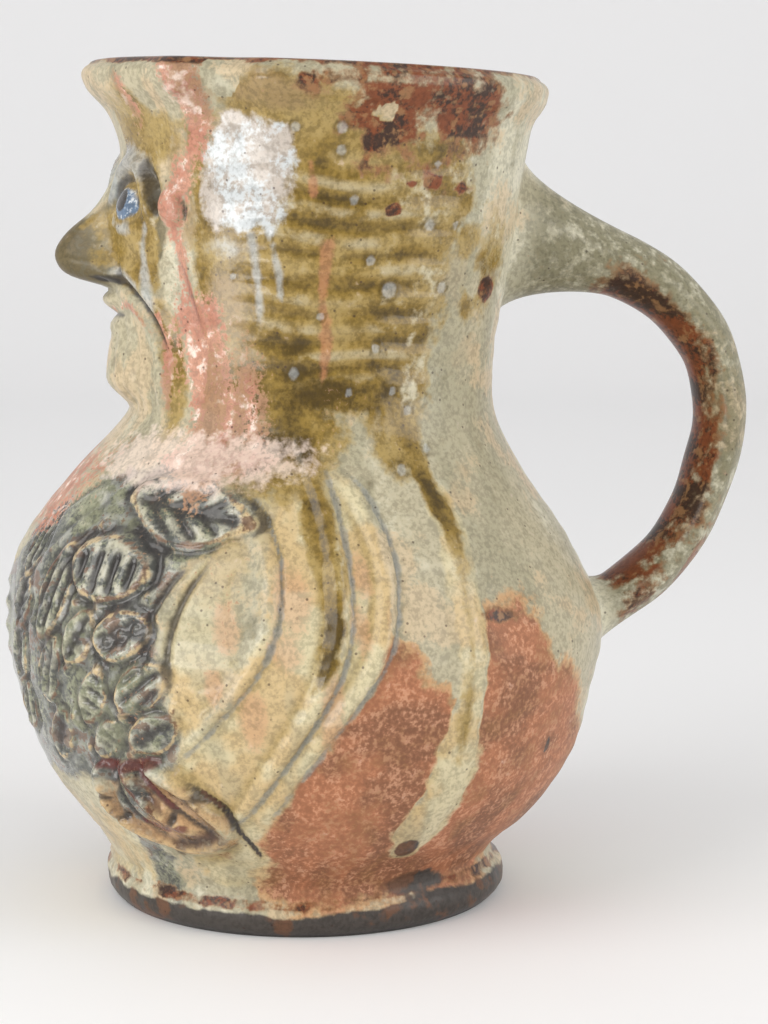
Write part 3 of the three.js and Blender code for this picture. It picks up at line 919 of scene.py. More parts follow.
def join_rings(rings, first_cap, last_cap):
    """One closed skin over rings of points, halving or doubling where their counts do."""
    points = [np.array([first_cap])]
    starts = []
    total = 1
    for ring in rings:
        starts.append(total)
        total += len(ring)
        points.append(ring)
    points.append(np.array([last_cap]))
    faces = []
    count = len(rings[0])
    for j in range(count):
        faces.append((0, starts[0] + (j + 1) % count, starts[0] + j))
    for ring, following, low, high in zip(rings[:-1], rings[1:], starts[:-1], starts[1:]):
        many, few = len(ring), len(following)
        j = np.arange(min(many, few))
        if many == few:
            k = (j + 1) % many
            faces += np.stack([low + j, low + k, high + k, high + j], axis=1).tolist()
        elif many > few:
            k = (j + 1) % few
            faces += np.stack([low + 2 * j, low + 2 * j + 1, high + j], axis=1).tolist()
            faces += np.stack([low + 2 * j + 1, high + k, high + j], axis=1).tolist()
            faces += np.stack([low + 2 * j + 1, low + (2 * j + 2) % many, high + k], axis=1).tolist()
        else:
            k = (j + 1) % many
            faces += np.stack([low + j, high + 2 * j + 1, high + 2 * j], axis=1).tolist()
            faces += np.stack([low + j, low + k, high + 2 * j + 1], axis=1).tolist()
            faces += np.stack([low + k, high + (2 * j + 2) % few, high + 2 * j + 1], axis=1).tolist()
    count = len(rings[-1])
    for j in range(count):
        faces.append((total, starts[-1] + j, starts[-1] + (j + 1) % count))
    return np.vstack(points), faces


def mesh_object(name, points, faces):
    """A Blender object from points in millimetres."""
    mesh = bpy.data.meshes.new(name)
    mesh.from_pydata((points * MM).tolist(), [], faces)
    mesh.update()
    thing = bpy.data.objects.new(name, mesh)
    bpy.context.scene.collection.objects.link(thing)
    return thing


# The underside: the radius of each ring, and one column in how many it keeps.
UNDERSIDE = ((18, 4), (38, 4), (47, 2), (50.2, 1))
# The lip, from the top of the outside over to the inside: radius and height of each ring.
LIP = (
    (57.8, 220.35), (56.9, 220.5), (55.9, 220.3), (55, 219.8), (54.2, 218.9), (53.5, 217.4),
)
INNER_TOP = 216
INNER_RING_STEP = 8
THROAT = 205


def level_ring(angles, radius, height):
    """A ring of the pot at one radius and one height."""
    return settle(angles, np.full(len(angles), float(radius)), np.full(len(angles), float(height)))


def pot_rings(wall):
    """The rings of the pot from the middle of the underside, up, over the lip and down inside."""
    all_round = wall.angles
    middle = np.array([0, OUTLINE[0, LEAN], 0])
    rings = [level_ring(all_round[::every], radius, 0) for radius, every in UNDERSIDE]
    rings += list(wall.surface())
    for radius, height in LIP:
        ring = level_ring(all_round, radius, RIM)
        ring[:, 2] += height - RIM
        rings.append(ring)
    for height in crowded(FLOOR, INNER_TOP, INNER_ROWS, inner_gap)[::-1]:
        corner = 1 - rise(height, FLOOR, FLOOR + 3 * WALL)
        radius = outline(min(height, THROAT), RADIUS) - WALL - 2 * WALL * corner
        radius += 0.25 * max(0, height - THROAT)
        marks = 0.3 * level_rings(height, INNER_RING_STEP) * rise(height, 20, 40)
        rings.append(level_ring(all_round[::2], radius + marks, height))
    last = rings[-1]
    centre = np.array([0, last[:, 1].mean(), FLOOR])
    for share in (0.72, 0.36):
        rings.append(centre + (last[::2] - centre) * share)
    return rings, middle, centre


# The middle line of the strap: how far back and how high.
HANDLE_LINE = [
    (59, 177.5), (73.8, 172.8), (85.3, 169.3), (97.2, 163), (106, 154.7), (112, 145.4),
    (115.1, 133.8), (115.3, 123.9), (112.9, 113.6), (108.8, 102), (102.9, 91.8), (95.5, 84),
    (86.4, 77.4), (78, 72.5),
]
HANDLE_HALF_WIDTH = 11.5
HANDLE_HALF_THICKNESS = 6.7
HANDLE_TAPER = 5
# The part of its length between its roots, and the depth of the roots' ends in the wall.
STRAP_START, STRAP_END = 0.2, 0.93
ROOT_DEPTH = 0.5


class Handle:
    """The pulled strap handle: its middle line, and how each section sits on it."""

    def __init__(self):
        self.line = smooth_line(HANDLE_LINE, steps=12)
        lengths = np.hypot(*np.diff(self.line, axis=0).T)
        self.share = np.concatenate([[0], np.cumsum(lengths)]) / lengths.sum()

    def place(self, share):
        """The middle of the strap at one share of its length."""
        return np.array([np.interp(share, self.share, self.line[:, axis]) for axis in (0, 1)])

    def section(self, share, turn):
        """Points round the strap at one share of its length. Turn 90 is the inside of the loop."""
        middle = self.place(share)
        ahead = self.place(min(share + 0.01, 1)) - self.place(max(share - 0.01, 0))
        ahead /= np.hypot(*ahead)
        thick = HANDLE_HALF_THICKNESS + HANDLE_TAPER * (1 - share) ** 4
        wave = 0.35 * math.sin(share * 23) + 0.25 * math.sin(share * 51 + 1)
        square = 1 + 0.05 * np.cos(4 * turn)
        across = (HANDLE_HALF_WIDTH + wave) * np.cos(turn) * square
        inwards = (thick + 0.3 * wave) * np.sin(turn) * square
        channel = 0.55 * hill((np.cos(turn) - 0.1) / 0.42) * (np.sin(turn) < 0)
        inwards = inwards + channel
        return np.stack([
            across,
            middle[0] + inwards * ahead[1],
            middle[1] - inwards * ahead[0],
        ], axis=1), np.array([0, *ahead])

    def root(self, height, half_height, half_width, turn, depth):
        """Points round the place where the strap is thumbed on to the wall, and their middle."""
        per_degree = float(outline(height, RADIUS)) * RADIAN
        angles = 180 - half_width * np.cos(turn) / per_degree
        heights = height + half_height * np.sin(turn)
        points = settle(angles, outline(heights, RADIUS) - depth, heights)
        middle = np.array([height])
        centre = settle(np.array([180.0]), outline(middle, RADIUS) - depth, middle)
        return points, centre[0]

    def rings(self):
        """The rings of the strap from its top root to its low one, and a middle for each end."""
        turn = np.arange(SECTION_SIDES) * 2 * math.pi / SECTION_SIDES
        top, top_middle = self.root(177.5, -23.5, 18, turn, ROOT_DEPTH)
        low, low_middle = self.root(73.5, 12, 14, turn, ROOT_DEPTH)
        start, start_way = self.section(STRAP_START, turn)
        end, end_way = self.section(STRAP_END, turn)
        rings = [top + (top_middle - top) * 0.5 + np.array([0, -2.2, 0])]
        rings.append(top + np.array([0, -1.4, 0]))
        for t in np.linspace(0, 1, 18)[:-1]:
            rings.append(bend(top, (top_middle - top) * 1.1, start, start_way * 20, t))
        for share in np.linspace(STRAP_START, STRAP_END, HANDLE_RINGS):
            rings.append(self.section(share, turn)[0])
        for t in np.linspace(0, 1, 12)[1:]:
            rings.append(bend(end, end_way * 7, low, (low - low_middle) * 0.8, t))
        rings.append(low + np.array([0, -1.4, 0]))
        rings.append(low + (low_middle - low) * 0.5 + np.array([0, -2.2, 0]))
        return rings, top_middle + np.array([0, -2.6, 0]), low_middle + np.array([0, -2.6, 0])


def bend(start, leaving, end, arriving, t):
    """A point of a smooth curve from start to end that leaves and arrives as asked."""
    return (
        start * (2 * t ** 3 - 3 * t ** 2 + 1) + leaving * (t ** 3 - 2 * t ** 2 + t)
        + end * (3 * t ** 2 - 2 * t ** 3) + arriving * (t ** 3 - t ** 2)
    )


def join_handle(pot, strap):
    """The handle made one with the pot."""
    union = pot.modifiers.new("handle", "BOOLEAN")
    union.operation = "UNION"
    union.solver = "MANIFOLD"
    union.object = strap
    bpy.context.view_layer.objects.active = pot
    bpy.ops.object.select_all(action="DESELECT")
    pot.select_set(True)
    bpy.ops.object.modifier_apply(modifier=union.name)
    bpy.data.objects.remove(strap)


LOOP_MIDDLE = np.array([82.0, 120.0])


def beside_handle(points, handle):
    """The handle's share nearest to each point, and the point's place towards the loop's middle."""
    distance = np.hypot(points[:, None, 1] - handle.line[None, ::4, 0],
                        points[:, None, 2] - handle.line[None, ::4, 1])
    nearest = distance.argmin(axis=1) * 4
    inwards = LOOP_MIDDLE - handle.line[nearest]
    inwards /= np.hypot(inwards[:, 0], inwards[:, 1])[:, None]
    depth = (points[:, 1] - handle.line[nearest, 0]) * inwards[:, 0]
    depth += (points[:, 2] - handle.line[nearest, 1]) * inwards[:, 1]
    return handle.share[nearest], depth


def write_attribute(mesh, name, amounts):
    """An amount on each point of a mesh, which the shader reads by its name."""
    layer = mesh.attributes.new(name, "FLOAT", "POINT")
    layer.data.foreach_set("value", amounts.astype(np.float32))


def write_glazes(pot, wall, handle):
    """Each glaze's amount on every point of the joined mesh."""
    count = len(pot.data.vertices)
    points = np.zeros(count * 3)
    pot.data.vertices.foreach_get("co", points)
    points = points.reshape(-1, 3) / MM
    angle, reach, height = unsettle(points)
    inside = (reach < outline(height, RADIUS) - 3) & (height > 1)
    on_top = (height > 219.4) & (reach < 58)
    behind = (np.abs(angle) > 140) & (height > 50) & (height < 204)
    off_wall = reach - outline(height, RADIUS) - pinch(angle, height)
    strap = rise(off_wall, 0.5, 9) * behind
    share, depth = beside_handle(points, handle)
    for name, grid in wall.glazes.items():
        amount = wall.read(grid, angle, height)
        if name not in MOTTLING:
            amount = np.where(inside, 0, amount) * (1 - strap)
        if name == "rust":
            blotches = mottle(90 * share + 2 * points[:, 0], 60 * share + depth, 9, 91)
            band = np.clip(0.5 + (depth - 1.0 - 2.5 * rise(share, 0.3, 0.5)) / 8, 0, 1)
            band = (band + 1.1 * (blotches - 0.5)) * rise(share, 0.1, 0.22)
            band = np.maximum(band, rise(share, 0.5, 0.8) * (0.36 + 1.2 * (blotches - 0.5)))
            amount = np.maximum(amount, strap * band)
            amount = np.where(on_top, 0.56, amount)
        if name == "char":
            amount = np.where(height < 0.6, 1, amount)
        write_attribute(pot.data, name, amount)
    write_attribute(pot.data, "strap", strap)


# The glazes in the kiln.

# What the fine unevenness of the fired surface multiplies its colours by.
SHADE = (0.74, 0.74, 0.73, 1)
LIGHT = (1.06, 1.06, 1.06, 1)


class Tone:
    """A number that varies over the surface, so that sums on it are written as sums."""

    def __init__(self, kiln, socket):
        self.kiln = kiln
        self.socket = socket

    def __add__(self, other):
        return self.kiln.figure("ADD", self, other)

    def __radd__(self, other):
        return self.kiln.figure("ADD", other, self)

    def __sub__(self, other):
        return self.kiln.figure("SUBTRACT", self, other)

    def __rsub__(self, other):
        return self.kiln.figure("SUBTRACT", other, self)

    def __mul__(self, other):
        return self.kiln.figure("MULTIPLY", self, other)

    def __rmul__(self, other):
        return self.kiln.figure("MULTIPLY", other, self)


class Kiln:
    """One fired surface: glaze is laid on glaze, and each keeps its colour and gloss; one bump serves
    them all.
    """

    def __init__(self, name, colour):
        self.material = bpy.data.materials.new(name)
        self.material.use_nodes = True
        self.tree = self.material.node_tree
        self.tree.nodes.clear()
        self.place = self.node("ShaderNodeTexCoord").outputs["Object"]
        self.colour = colour
        self.rough = 0.42
        self.shine = 0.15
        self.thick = 0.0

    def node(self, kind, settings=None, sockets=None):
        """A node of any kind: its settings first, then the values or links of its sockets."""
        made = self.tree.nodes.new(kind)
        for setting, value in (settings or {}).items():
            setattr(made, setting, value)
        for socket, value in (sockets or {}).items():
            if isinstance(value, Tone):
                value = value.socket
            if isinstance(value, bpy.types.NodeSocket):
                self.tree.links.new(value, made.inputs[socket])
            else:
                made.inputs[socket].default_value = value
        return made

    def figure(self, operation, first, second):
        """One sum of the kind that Tone writes."""
        math_node = self.node("ShaderNodeMath", {"operation": operation}, {0: first, 1: second})
        return Tone(self, math_node.outputs[0])

    def step(self, value, low, high):
        """A smooth step from 0 at low to 1 at high."""
        ramp = self.node(
            "ShaderNodeMapRange", {"interpolation_type": "SMOOTHSTEP"},
            {"Value": value, "From Min": low, "From Max": high})
        return Tone(self, ramp.outputs["Result"])

    def mix(self, factor, first, second, way="MIX"):
        """A colour that goes from first to second."""
        settings = {"data_type": "RGBA", "blend_type": way}
        return self.node("ShaderNodeMix", settings, {0: factor, 6: first, 7: second}).outputs[2]

    def blend(self, factor, first, second):
        """A plain number that goes from first to second."""
        made = self.node("ShaderNodeMix", {"data_type": "FLOAT"}, {0: factor, 2: first, 3: second})
        return Tone(self, made.outputs[0])

    def amount(self, glaze):
        """How thick a glaze was painted here, from the mesh."""
        found = self.node("ShaderNodeAttribute", {"attribute_name": glaze})
        return Tone(self, found.outputs["Fac"])

    def cloud(self, size, detail):
        """Fine mottling, with spots about this many millimetres across."""
        made = self.node("ShaderNodeTexNoise", {}, {
            "Vector": self.place, "Scale": 1 / (size * MM), "Detail": detail, "Roughness": 0.6,
        })
        return Tone(self, made.outputs["Fac"])

    def specks(self, spacing, size, share):
        """Round specks of a size, some millimetres apart, on a share of the places they might be."""
        cells = self.node("ShaderNodeTexVoronoi", {}, {
            "Vector": self.place, "Scale": 1 / (spacing * MM),
        })
        near = self.step(Tone(self, cells.outputs["Distance"]), size / spacing, 0.5 * size / spacing)
        parted = self.node("ShaderNodeSeparateColor", {}, {0: cells.outputs["Color"]})
        return near * self.step(Tone(self, parted.outputs[0]), 1 - share, 1 - share + 0.02)

    def edge(self, glaze, level, softness, crumb, crumbling):
        """Where a glaze lies thicker than a level, its edge crumbled by a fine texture."""
        amount = self.amount(glaze) + crumb * crumbling
        middle = level + 0.5 * crumbling
        return self.step(amount, middle - softness, middle + softness)

    def lay(self, mask, colour, rough=None, shine=None):
        """One glaze laid over what is there already."""
        self.colour = self.mix(mask, self.colour, colour)
        if rough is not None:
            self.rough = self.blend(mask, self.rough, rough)
        if shine is not None:
            self.shine = self.blend(mask, self.shine, shine)

    def fire(self):
        """The finished surface."""
        bump = self.node("ShaderNodeBump", {}, {
            "Strength": 1.0, "Distance": MM, "Height": self.thick,
        })
        shader = self.node("ShaderNodeBsdfPrincipled", {}, {
            "Base Color": self.colour, "Roughness": self.rough, "Coat Weight": self.shine,
            "Coat Roughness": 0.1, "Coat IOR": 1.5, "Specular IOR Level": 0.25,
            "Normal": bump.outputs[0],
        })
        self.node("ShaderNodeOutputMaterial", {}, {"Surface": shader.outputs[0]})
        return self.material


def glaze_pitcher(colours):
    """Every glaze of the pitcher, from the celadon under all of them to the iron on top."""
    kiln = Kiln("glazed_stoneware", colours.celadon)
    raised, recess, crest, pool, strap = [
        kiln.amount(name) for name in ("raised", "recess", "crest", "pool", "strap")]
    broad, cloudy, patchy, streaks, bands = [kiln.amount(name) for name in MOTTLING]
    small = kiln.cloud(3.6, 3)
    fine = kiln.cloud(1.2, 2)

    kiln.lay(kiln.step(broad * 0.6 + small * 0.4, 0.4, 0.62), colours.pale_celadon)
    kiln.lay(kiln.step(streaks * 0.6 + small * 0.4, 0.48, 0.62) * 0.6, colours.grey_celadon)
    kiln.lay(kiln.step(cloudy * 0.7 + fine * 0.3, 0.52, 0.66) * 0.7, colours.buff)
    kiln.lay(kiln.edge("dusk", 0.5, 0.3, small, 0.6) * 0.75, colours.grey_celadon)
    kiln.lay(strap * kiln.step(small, 0.3, 0.55) * 0.8, colours.strap_green)
    # Painted shade on the beak, at the nostril and round the eyes, with darker olive mottles in it.
    kiln.lay(kiln.edge("shadow", 0.45, 0.25, patchy * 0.5 + small * 0.5, 1.8) * 0.85, colours.shadow)
    painted_shade_mottle = kiln.edge("shadow", 0.6, 0.1, small * 0.6 + fine * 0.4, 2.4)
    kiln.lay(painted_shade_mottle * 0.5, colours.olive_dark)
    kiln.lay(recess * 0.4, colours.grey_celadon)

    kiln.lay(kiln.edge("clay", 0.36, 0.1, small, 0.8) * 0.9, colours.ochre, rough=0.42)
    clay = kiln.edge("clay", 0.52, 0.1, small, 0.7)
    warm = kiln.step(cloudy * 0.7 + small * 0.3, 0.4, 0.62)
    bare = kiln.mix(warm, colours.salmon, colours.salmon_dark)
    bare = kiln.mix(kiln.step(small * 0.4 + fine * 0.6, 0.5, 0.62) * 0.55, bare, colours.salmon_pale)
    bare = kiln.mix(kiln.step(patchy * 0.4 + fine * 0.6, 0.52, 0.64) * 0.45, bare, colours.iron_light)
    kiln.lay(clay, bare, rough=0.5, shine=0.05)

    cream = kiln.edge("cream", 0.5, 0.1, small, 0.4)
    ivory = kiln.mix(kiln.step(cloudy, 0.36, 0.62), colours.cream, colours.cream_gold)
    ivory = kiln.mix(kiln.step(streaks, 0.5, 0.7) * 0.45, ivory, colours.grey_celadon)
    kiln.lay(cream, ivory, rough=0.32, shine=0.3)
    # Gold in the hollows of the wing glaze: partly glaze pooled there, partly painted shade in the
    # valleys beside the ridges.
    kiln.lay(cream * recess * 0.75, colours.gold)
    kiln.lay(kiln.edge("blush", 0.55, 0.35, small * 0.5 + fine * 0.5, 2.0) * 0.45, colours.blush)

    claw = kiln.edge("ochre", 0.5, 0.14, small, 0.7)
    bronze = kiln.mix(kiln.step(patchy * 0.6 + small * 0.4, 0.36, 0.52), colours.scorch, colours.ochre)
    kiln.lay(claw, bronze, rough=0.25, shine=0.4)
    # On the claws, cream gold on the toes' tops and ink in the hollows: partly the glaze breaking and
    # pooling, partly painted highlight and painted shade.
    kiln.lay(claw * raised * kiln.step(small, 0.38, 0.54) * 0.8, colours.cream_gold)
    kiln.lay(claw * recess * 0.75, colours.ink)

    slate = kiln.edge("slate", 0.5, 0.12, small, 0.6)
    dark = kiln.mix(kiln.step(cloudy * 0.5 + fine * 0.5, 0.42, 0.6), colours.slate, colours.slate_green)
    dark = kiln.mix(kiln.step(patchy * 0.5 + small * 0.5, 0.46, 0.6) * 0.8, dark, colours.slate_blue)
    kiln.lay(slate, dark, rough=0.22, shine=0.5)
    kiln.lay(slate * raised * kiln.step(small, 0.42, 0.58) * 0.7, colours.pale_celadon)
    kiln.lay(slate * kiln.step(patchy * 0.6 + fine * 0.4, 0.6, 0.66) * 0.7, colours.scorch)
    kiln.lay(slate * recess * 0.85, colours.ink)
    bone = kiln.edge("bone", 0.56, 0.2, small, 1.4)
    crusty = kiln.step(patchy * 0.6 + fine * 0.4, 0.4, 0.58)
    crust = kiln.mix(crusty, colours.scorch, colours.cream_gold)
    kiln.lay(bone * 0.8, crust, rough=0.35)
    kiln.lay(kiln.edge("ink", 0.45, 0.2, small, 0.6) * 0.8, colours.ink, rough=0.3)
    kiln.lay(kiln.edge("grey", 0.5, 0.2, small, 1.2) * 0.6, colours.slate_blue, rough=0.3)
    kiln.lay(kiln.edge("wine", 0.5, 0.2, small, 0.7) * 0.85, colours.wine, rough=0.25)

    kiln.lay(kiln.edge("olive", 0.34, 0.12, small, 0.7) * 0.7, colours.gold, rough=0.3, shine=0.3)
    olive = kiln.edge("olive", 0.47, 0.12, small, 0.7)
    depth = crest * 0.2 + cloudy * 0.3 + bands * 0.2 + small * 0.2 + fine * 0.1 - pool * 0.14
    ash = kiln.mix(kiln.step(depth, 0.28, 0.46), colours.olive_dark, colours.olive)
    ash = kiln.mix(kiln.step(depth, 0.42, 0.6), ash, colours.gold)
    milky = kiln.step(broad * 0.4 + cloudy * 0.3 + small * 0.3, 0.56, 0.68)
    ash = kiln.mix(milky * 0.75, ash, colours.pale_celadon)
    crest_line = kiln.step(crest, 0.45, 1.0) * kiln.step(bands * 0.5 + small * 0.5, 0.44, 0.6)
    ash = kiln.mix(crest_line * 0.6, ash, colours.celadon)
    ash = kiln.mix(kiln.step(crest + small * 0.6, 0.65, 0.25) * 0.5, ash, colours.olive_dark)
    kiln.lay(olive, ash, rough=0.24, shine=0.35)
    kiln.lay(kiln.edge("fawn", 0.5, 0.3, small, 0.7) * 0.7, colours.fawn)
    kiln.lay(kiln.edge("clay", 0.55, 0.15, small, 0.7) * olive * 0.6, colours.salmon)
    kiln.lay(kiln.edge("haze", 0.5, 0.3, small, 0.9) * 0.6, colours.haze, rough=0.2)
    # The white patch on the neck: white glaze and a painted reflection, in bluish and warmer parts.
    film = kiln.mix(kiln.step(patchy * 0.5 + fine * 0.5, 0.42, 0.6), colours.milk_reflection_blush, colours.milk_reflection)
    kiln.lay(kiln.edge("milk_reflection", 0.5, 0.16, small, 0.9) * 0.95, film, rough=0.2, shine=0.5)

    pink = kiln.edge("pink", 0.5, 0.16, streaks * 0.3 + fine * 0.7, 1.8)
    chalk = kiln.mix(kiln.step(small, 0.52, 0.68), colours.pink, colours.pink_pale)
    chalk = kiln.mix(kiln.step(patchy * 0.5 + fine * 0.5, 0.46, 0.56) * 0.75, chalk, colours.pink_deep)
    chalk = kiln.mix(kiln.step(streaks * 0.4 + fine * 0.6, 0.58, 0.64) * 0.6, chalk, colours.fawn)
    kiln.lay(pink * 0.92, chalk, rough=0.5, shine=0.08)
    kiln.lay(kiln.edge("blanch", 0.5, 0.25, small, 1.7) * 0.55, colours.pink_pale, rough=0.5)
    kiln.lay(kiln.edge("slot", 0.55, 0.2, small, 0.4) * 0.8, colours.ink, rough=0.3)

    iron = kiln.edge("rust", 0.5, 0.12, small, 1.0)
    burnt = kiln.step(patchy * 0.5 + fine * 0.5, 0.4, 0.58)
    scorched = kiln.mix(burnt, colours.iron_dark, colours.iron)
    scorched = kiln.mix(kiln.step(small, 0.54, 0.66) * 0.8, scorched, colours.iron_light)
    kiln.lay(kiln.edge("rust", 0.38, 0.12, small, 1.0) * 0.7, colours.iron_light)
    kiln.lay(iron * 0.95, scorched, rough=0.34, shine=0.2)
    rusty = kiln.step(cloudy * 0.5 + small * 0.5, 0.5, 0.62) * 0.7
    charred = kiln.mix(rusty, colours.char, colours.scorch)
    kiln.lay(kiln.edge("char", 0.5, 0.12, small, 0.5), charred, rough=0.4, shine=0.1)

    kiln.lay(kiln.edge("bubble", 0.55, 0.2, small, 0.6) * 0.45, colours.haze, rough=0.2)
    kiln.lay(kiln.amount("halo") * kiln.step(small, 0.36, 0.5) * 0.75, colours.olive_dark)
    # The blue iris, with white flecks on it as painted glints.
    iris_with_glints = kiln.mix(kiln.step(fine, 0.52, 0.66) * 0.8, colours.iris, colours.milk_reflection)
    kiln.lay(kiln.edge("iris", 0.5, 0.15, small, 0.6), iris_with_glints, rough=0.2, shine=1.0)
    kiln.lay(kiln.edge("pupil", 0.5, 0.1, small, 0.2), colours.ink, rough=0.2)

    pits = kiln.specks(3.1, 0.45, 0.6) * (1 - clay)
    kiln.lay(pits * 0.65, colours.iron_dark)
    uneven = kiln.mix(kiln.step(fine * 0.6 + small * 0.4, 0.38, 0.58), SHADE, LIGHT)
    kiln.colour = kiln.mix(1.0, kiln.colour, uneven, "MULTIPLY")
    kiln.thick = small * 0.14 + fine * 0.07
    return kiln.fire()


# The studio.

CAMERA_AT = (0.6715, -0.0972, 0.193)
CAMERA_AZIMUTH = 80
CAMERA_DROP = 7.58
LENS = 89.02
SENSOR_WIDTH = 36
LAMP_COLOUR = (1.0, 0.985, 0.96)
AIR_COLOUR = (1.0, 0.995, 0.99, 1)
TABLE_SIDES = 96
BACKDROP_RISE = 1.8


def add_light(name, place, target, width, height, watts):
    """A soft box that looks at a place."""
    lamp = bpy.data.lights.new(name, "AREA")
    lamp.shape = "RECTANGLE"
    lamp.size = width
    lamp.size_y = height
    lamp.energy = watts
    lamp.color = LAMP_COLOUR
    thing = bpy.data.objects.new(name, lamp)
    thing.location = place
    thing.rotation_euler = (Vector(target) - Vector(place)).to_track_quat("-Z", "Y").to_euler()
    bpy.context.scene.collection.objects.link(thing)


def sweep_floor(studio):
    """A pale table that curves up all round, so that no horizon shows behind the pitcher."""
    flat, bend_radius = studio.floor_radius, studio.floor_bend
    profile = [(share * flat, 0.0) for share in (0.1, 0.3, 0.6, 1.0)]
    for turn in np.linspace(0, math.pi / 2, 13)[1:]:
        profile.append((flat + bend_radius * math.sin(turn), bend_radius * (1 - math.cos(turn))))
    profile.append((flat + bend_radius, BACKDROP_RISE * bend_radius))
    points = [(0.0, 0.0, 0.0)]
    for radius, height in profile:
        for step in range(TABLE_SIDES):
            turn = step * 2 * math.pi / TABLE_SIDES
            points.append((radius * math.cos(turn), radius * math.sin(turn), height))
    faces = [(0, 1 + step, 1 + (step + 1) % TABLE_SIDES) for step in range(TABLE_SIDES)]
    for ring in range(len(profile) - 1):
        low, high = 1 + ring * TABLE_SIDES, 1 + (ring + 1) * TABLE_SIDES
        for step in range(TABLE_SIDES):
            following = (step + 1) % TABLE_SIDES
            faces.append((low + step, high + step, high + following, low + following))
    mesh = bpy.data.meshes.new("table")
    mesh.from_pydata(points, [], faces)
    mesh.polygons.foreach_set("use_smooth", [True] * len(mesh.polygons))
    table = bpy.data.objects.new("table", mesh)
    bpy.context.scene.collection.objects.link(table)
    linen = Kiln("pale_linen", studio.floor_colour)
    linen.rough = 0.8
    linen.shine = 0.0
    table.data.materials.append(linen.fire())


def light_studio(studio):
    """Light from all round, two soft boxes, a low card and a wash on the backdrop."""
    world = bpy.data.worlds.new("studio_air")
    world.use_nodes = True
    air = world.node_tree.nodes["Background"]
    air.inputs["Color"].default_value = AIR_COLOUR
    air.inputs["Strength"].default_value = studio.air
    bpy.context.scene.world = world
    middle = (0, 0, 0.11)
    add_light("key_box", (0.5, -0.9, 0.8), middle, 0.9, 0.7, studio.key_watts)
    add_light("fill_box", (0.6, 0.9, 0.5), middle, 0.8, 0.8, studio.fill_watts)
    add_light("low_card", (0.33, -0.46, 0.07), (0, 0, 0.19), 0.36, 0.13, studio.card_watts)
    add_light("wall_wash", (-0.9, 0, 1.1), (-2, 0, 0.1), 1.6, 0.6, studio.wash_watts)


def place_camera():
    """The camera stands where the photograph was taken from."""
    lens = bpy.data.cameras.new("studio_camera")
    lens.lens = LENS
    lens.sensor_width = SENSOR_WIDTH
    lens.sensor_fit = "AUTO"
    lens.clip_start = 0.01
    camera = bpy.data.objects.new("studio_camera", lens)
    drop = CAMERA_DROP * RADIAN
    azimuth = CAMERA_AZIMUTH * RADIAN
    way = Vector((
        -math.sin(azimuth) * math.cos(drop), math.cos(azimuth) * math.cos(drop), -math.sin(drop),
    ))
    camera.location = CAMERA_AT
    camera.rotation_euler = way.to_track_quat("-Z", "Y").to_euler()
    bpy.context.scene.collection.objects.link(camera)
    bpy.context.scene.camera = camera
    bpy.context.scene.view_settings.view_transform = "Standard"


# Settings.

def shade(name, description, red, green, blue):
    """A colour setting, given in everyday 0 to 255 steps."""
    return bpy.props.FloatVectorProperty(
        name=name, description=description, subtype="COLOR", size=4, min=0, max=1,
        default=earth(red, green, blue))


def dial(name, description, default, low, high, **kind):
    """A number setting, with its limits."""
    return bpy.props.FloatProperty(
        name=name, description=description, default=default, min=low, max=high, **kind)


class PitcherSizes(bpy.types.PropertyGroup):
    """How deeply the clay is worked."""

    ring_depth: dial(
        "Ring depth", "How far the throwing rings stand out on the neck", 0.45 * MM, 0, 1.5 * MM,
        subtype="DISTANCE", unit="LENGTH")
    relief_depth: dial(
        "Relief", "How strongly the face, feathers and claws stand out", 1.0, 0, 1.2,
        subtype="FACTOR")


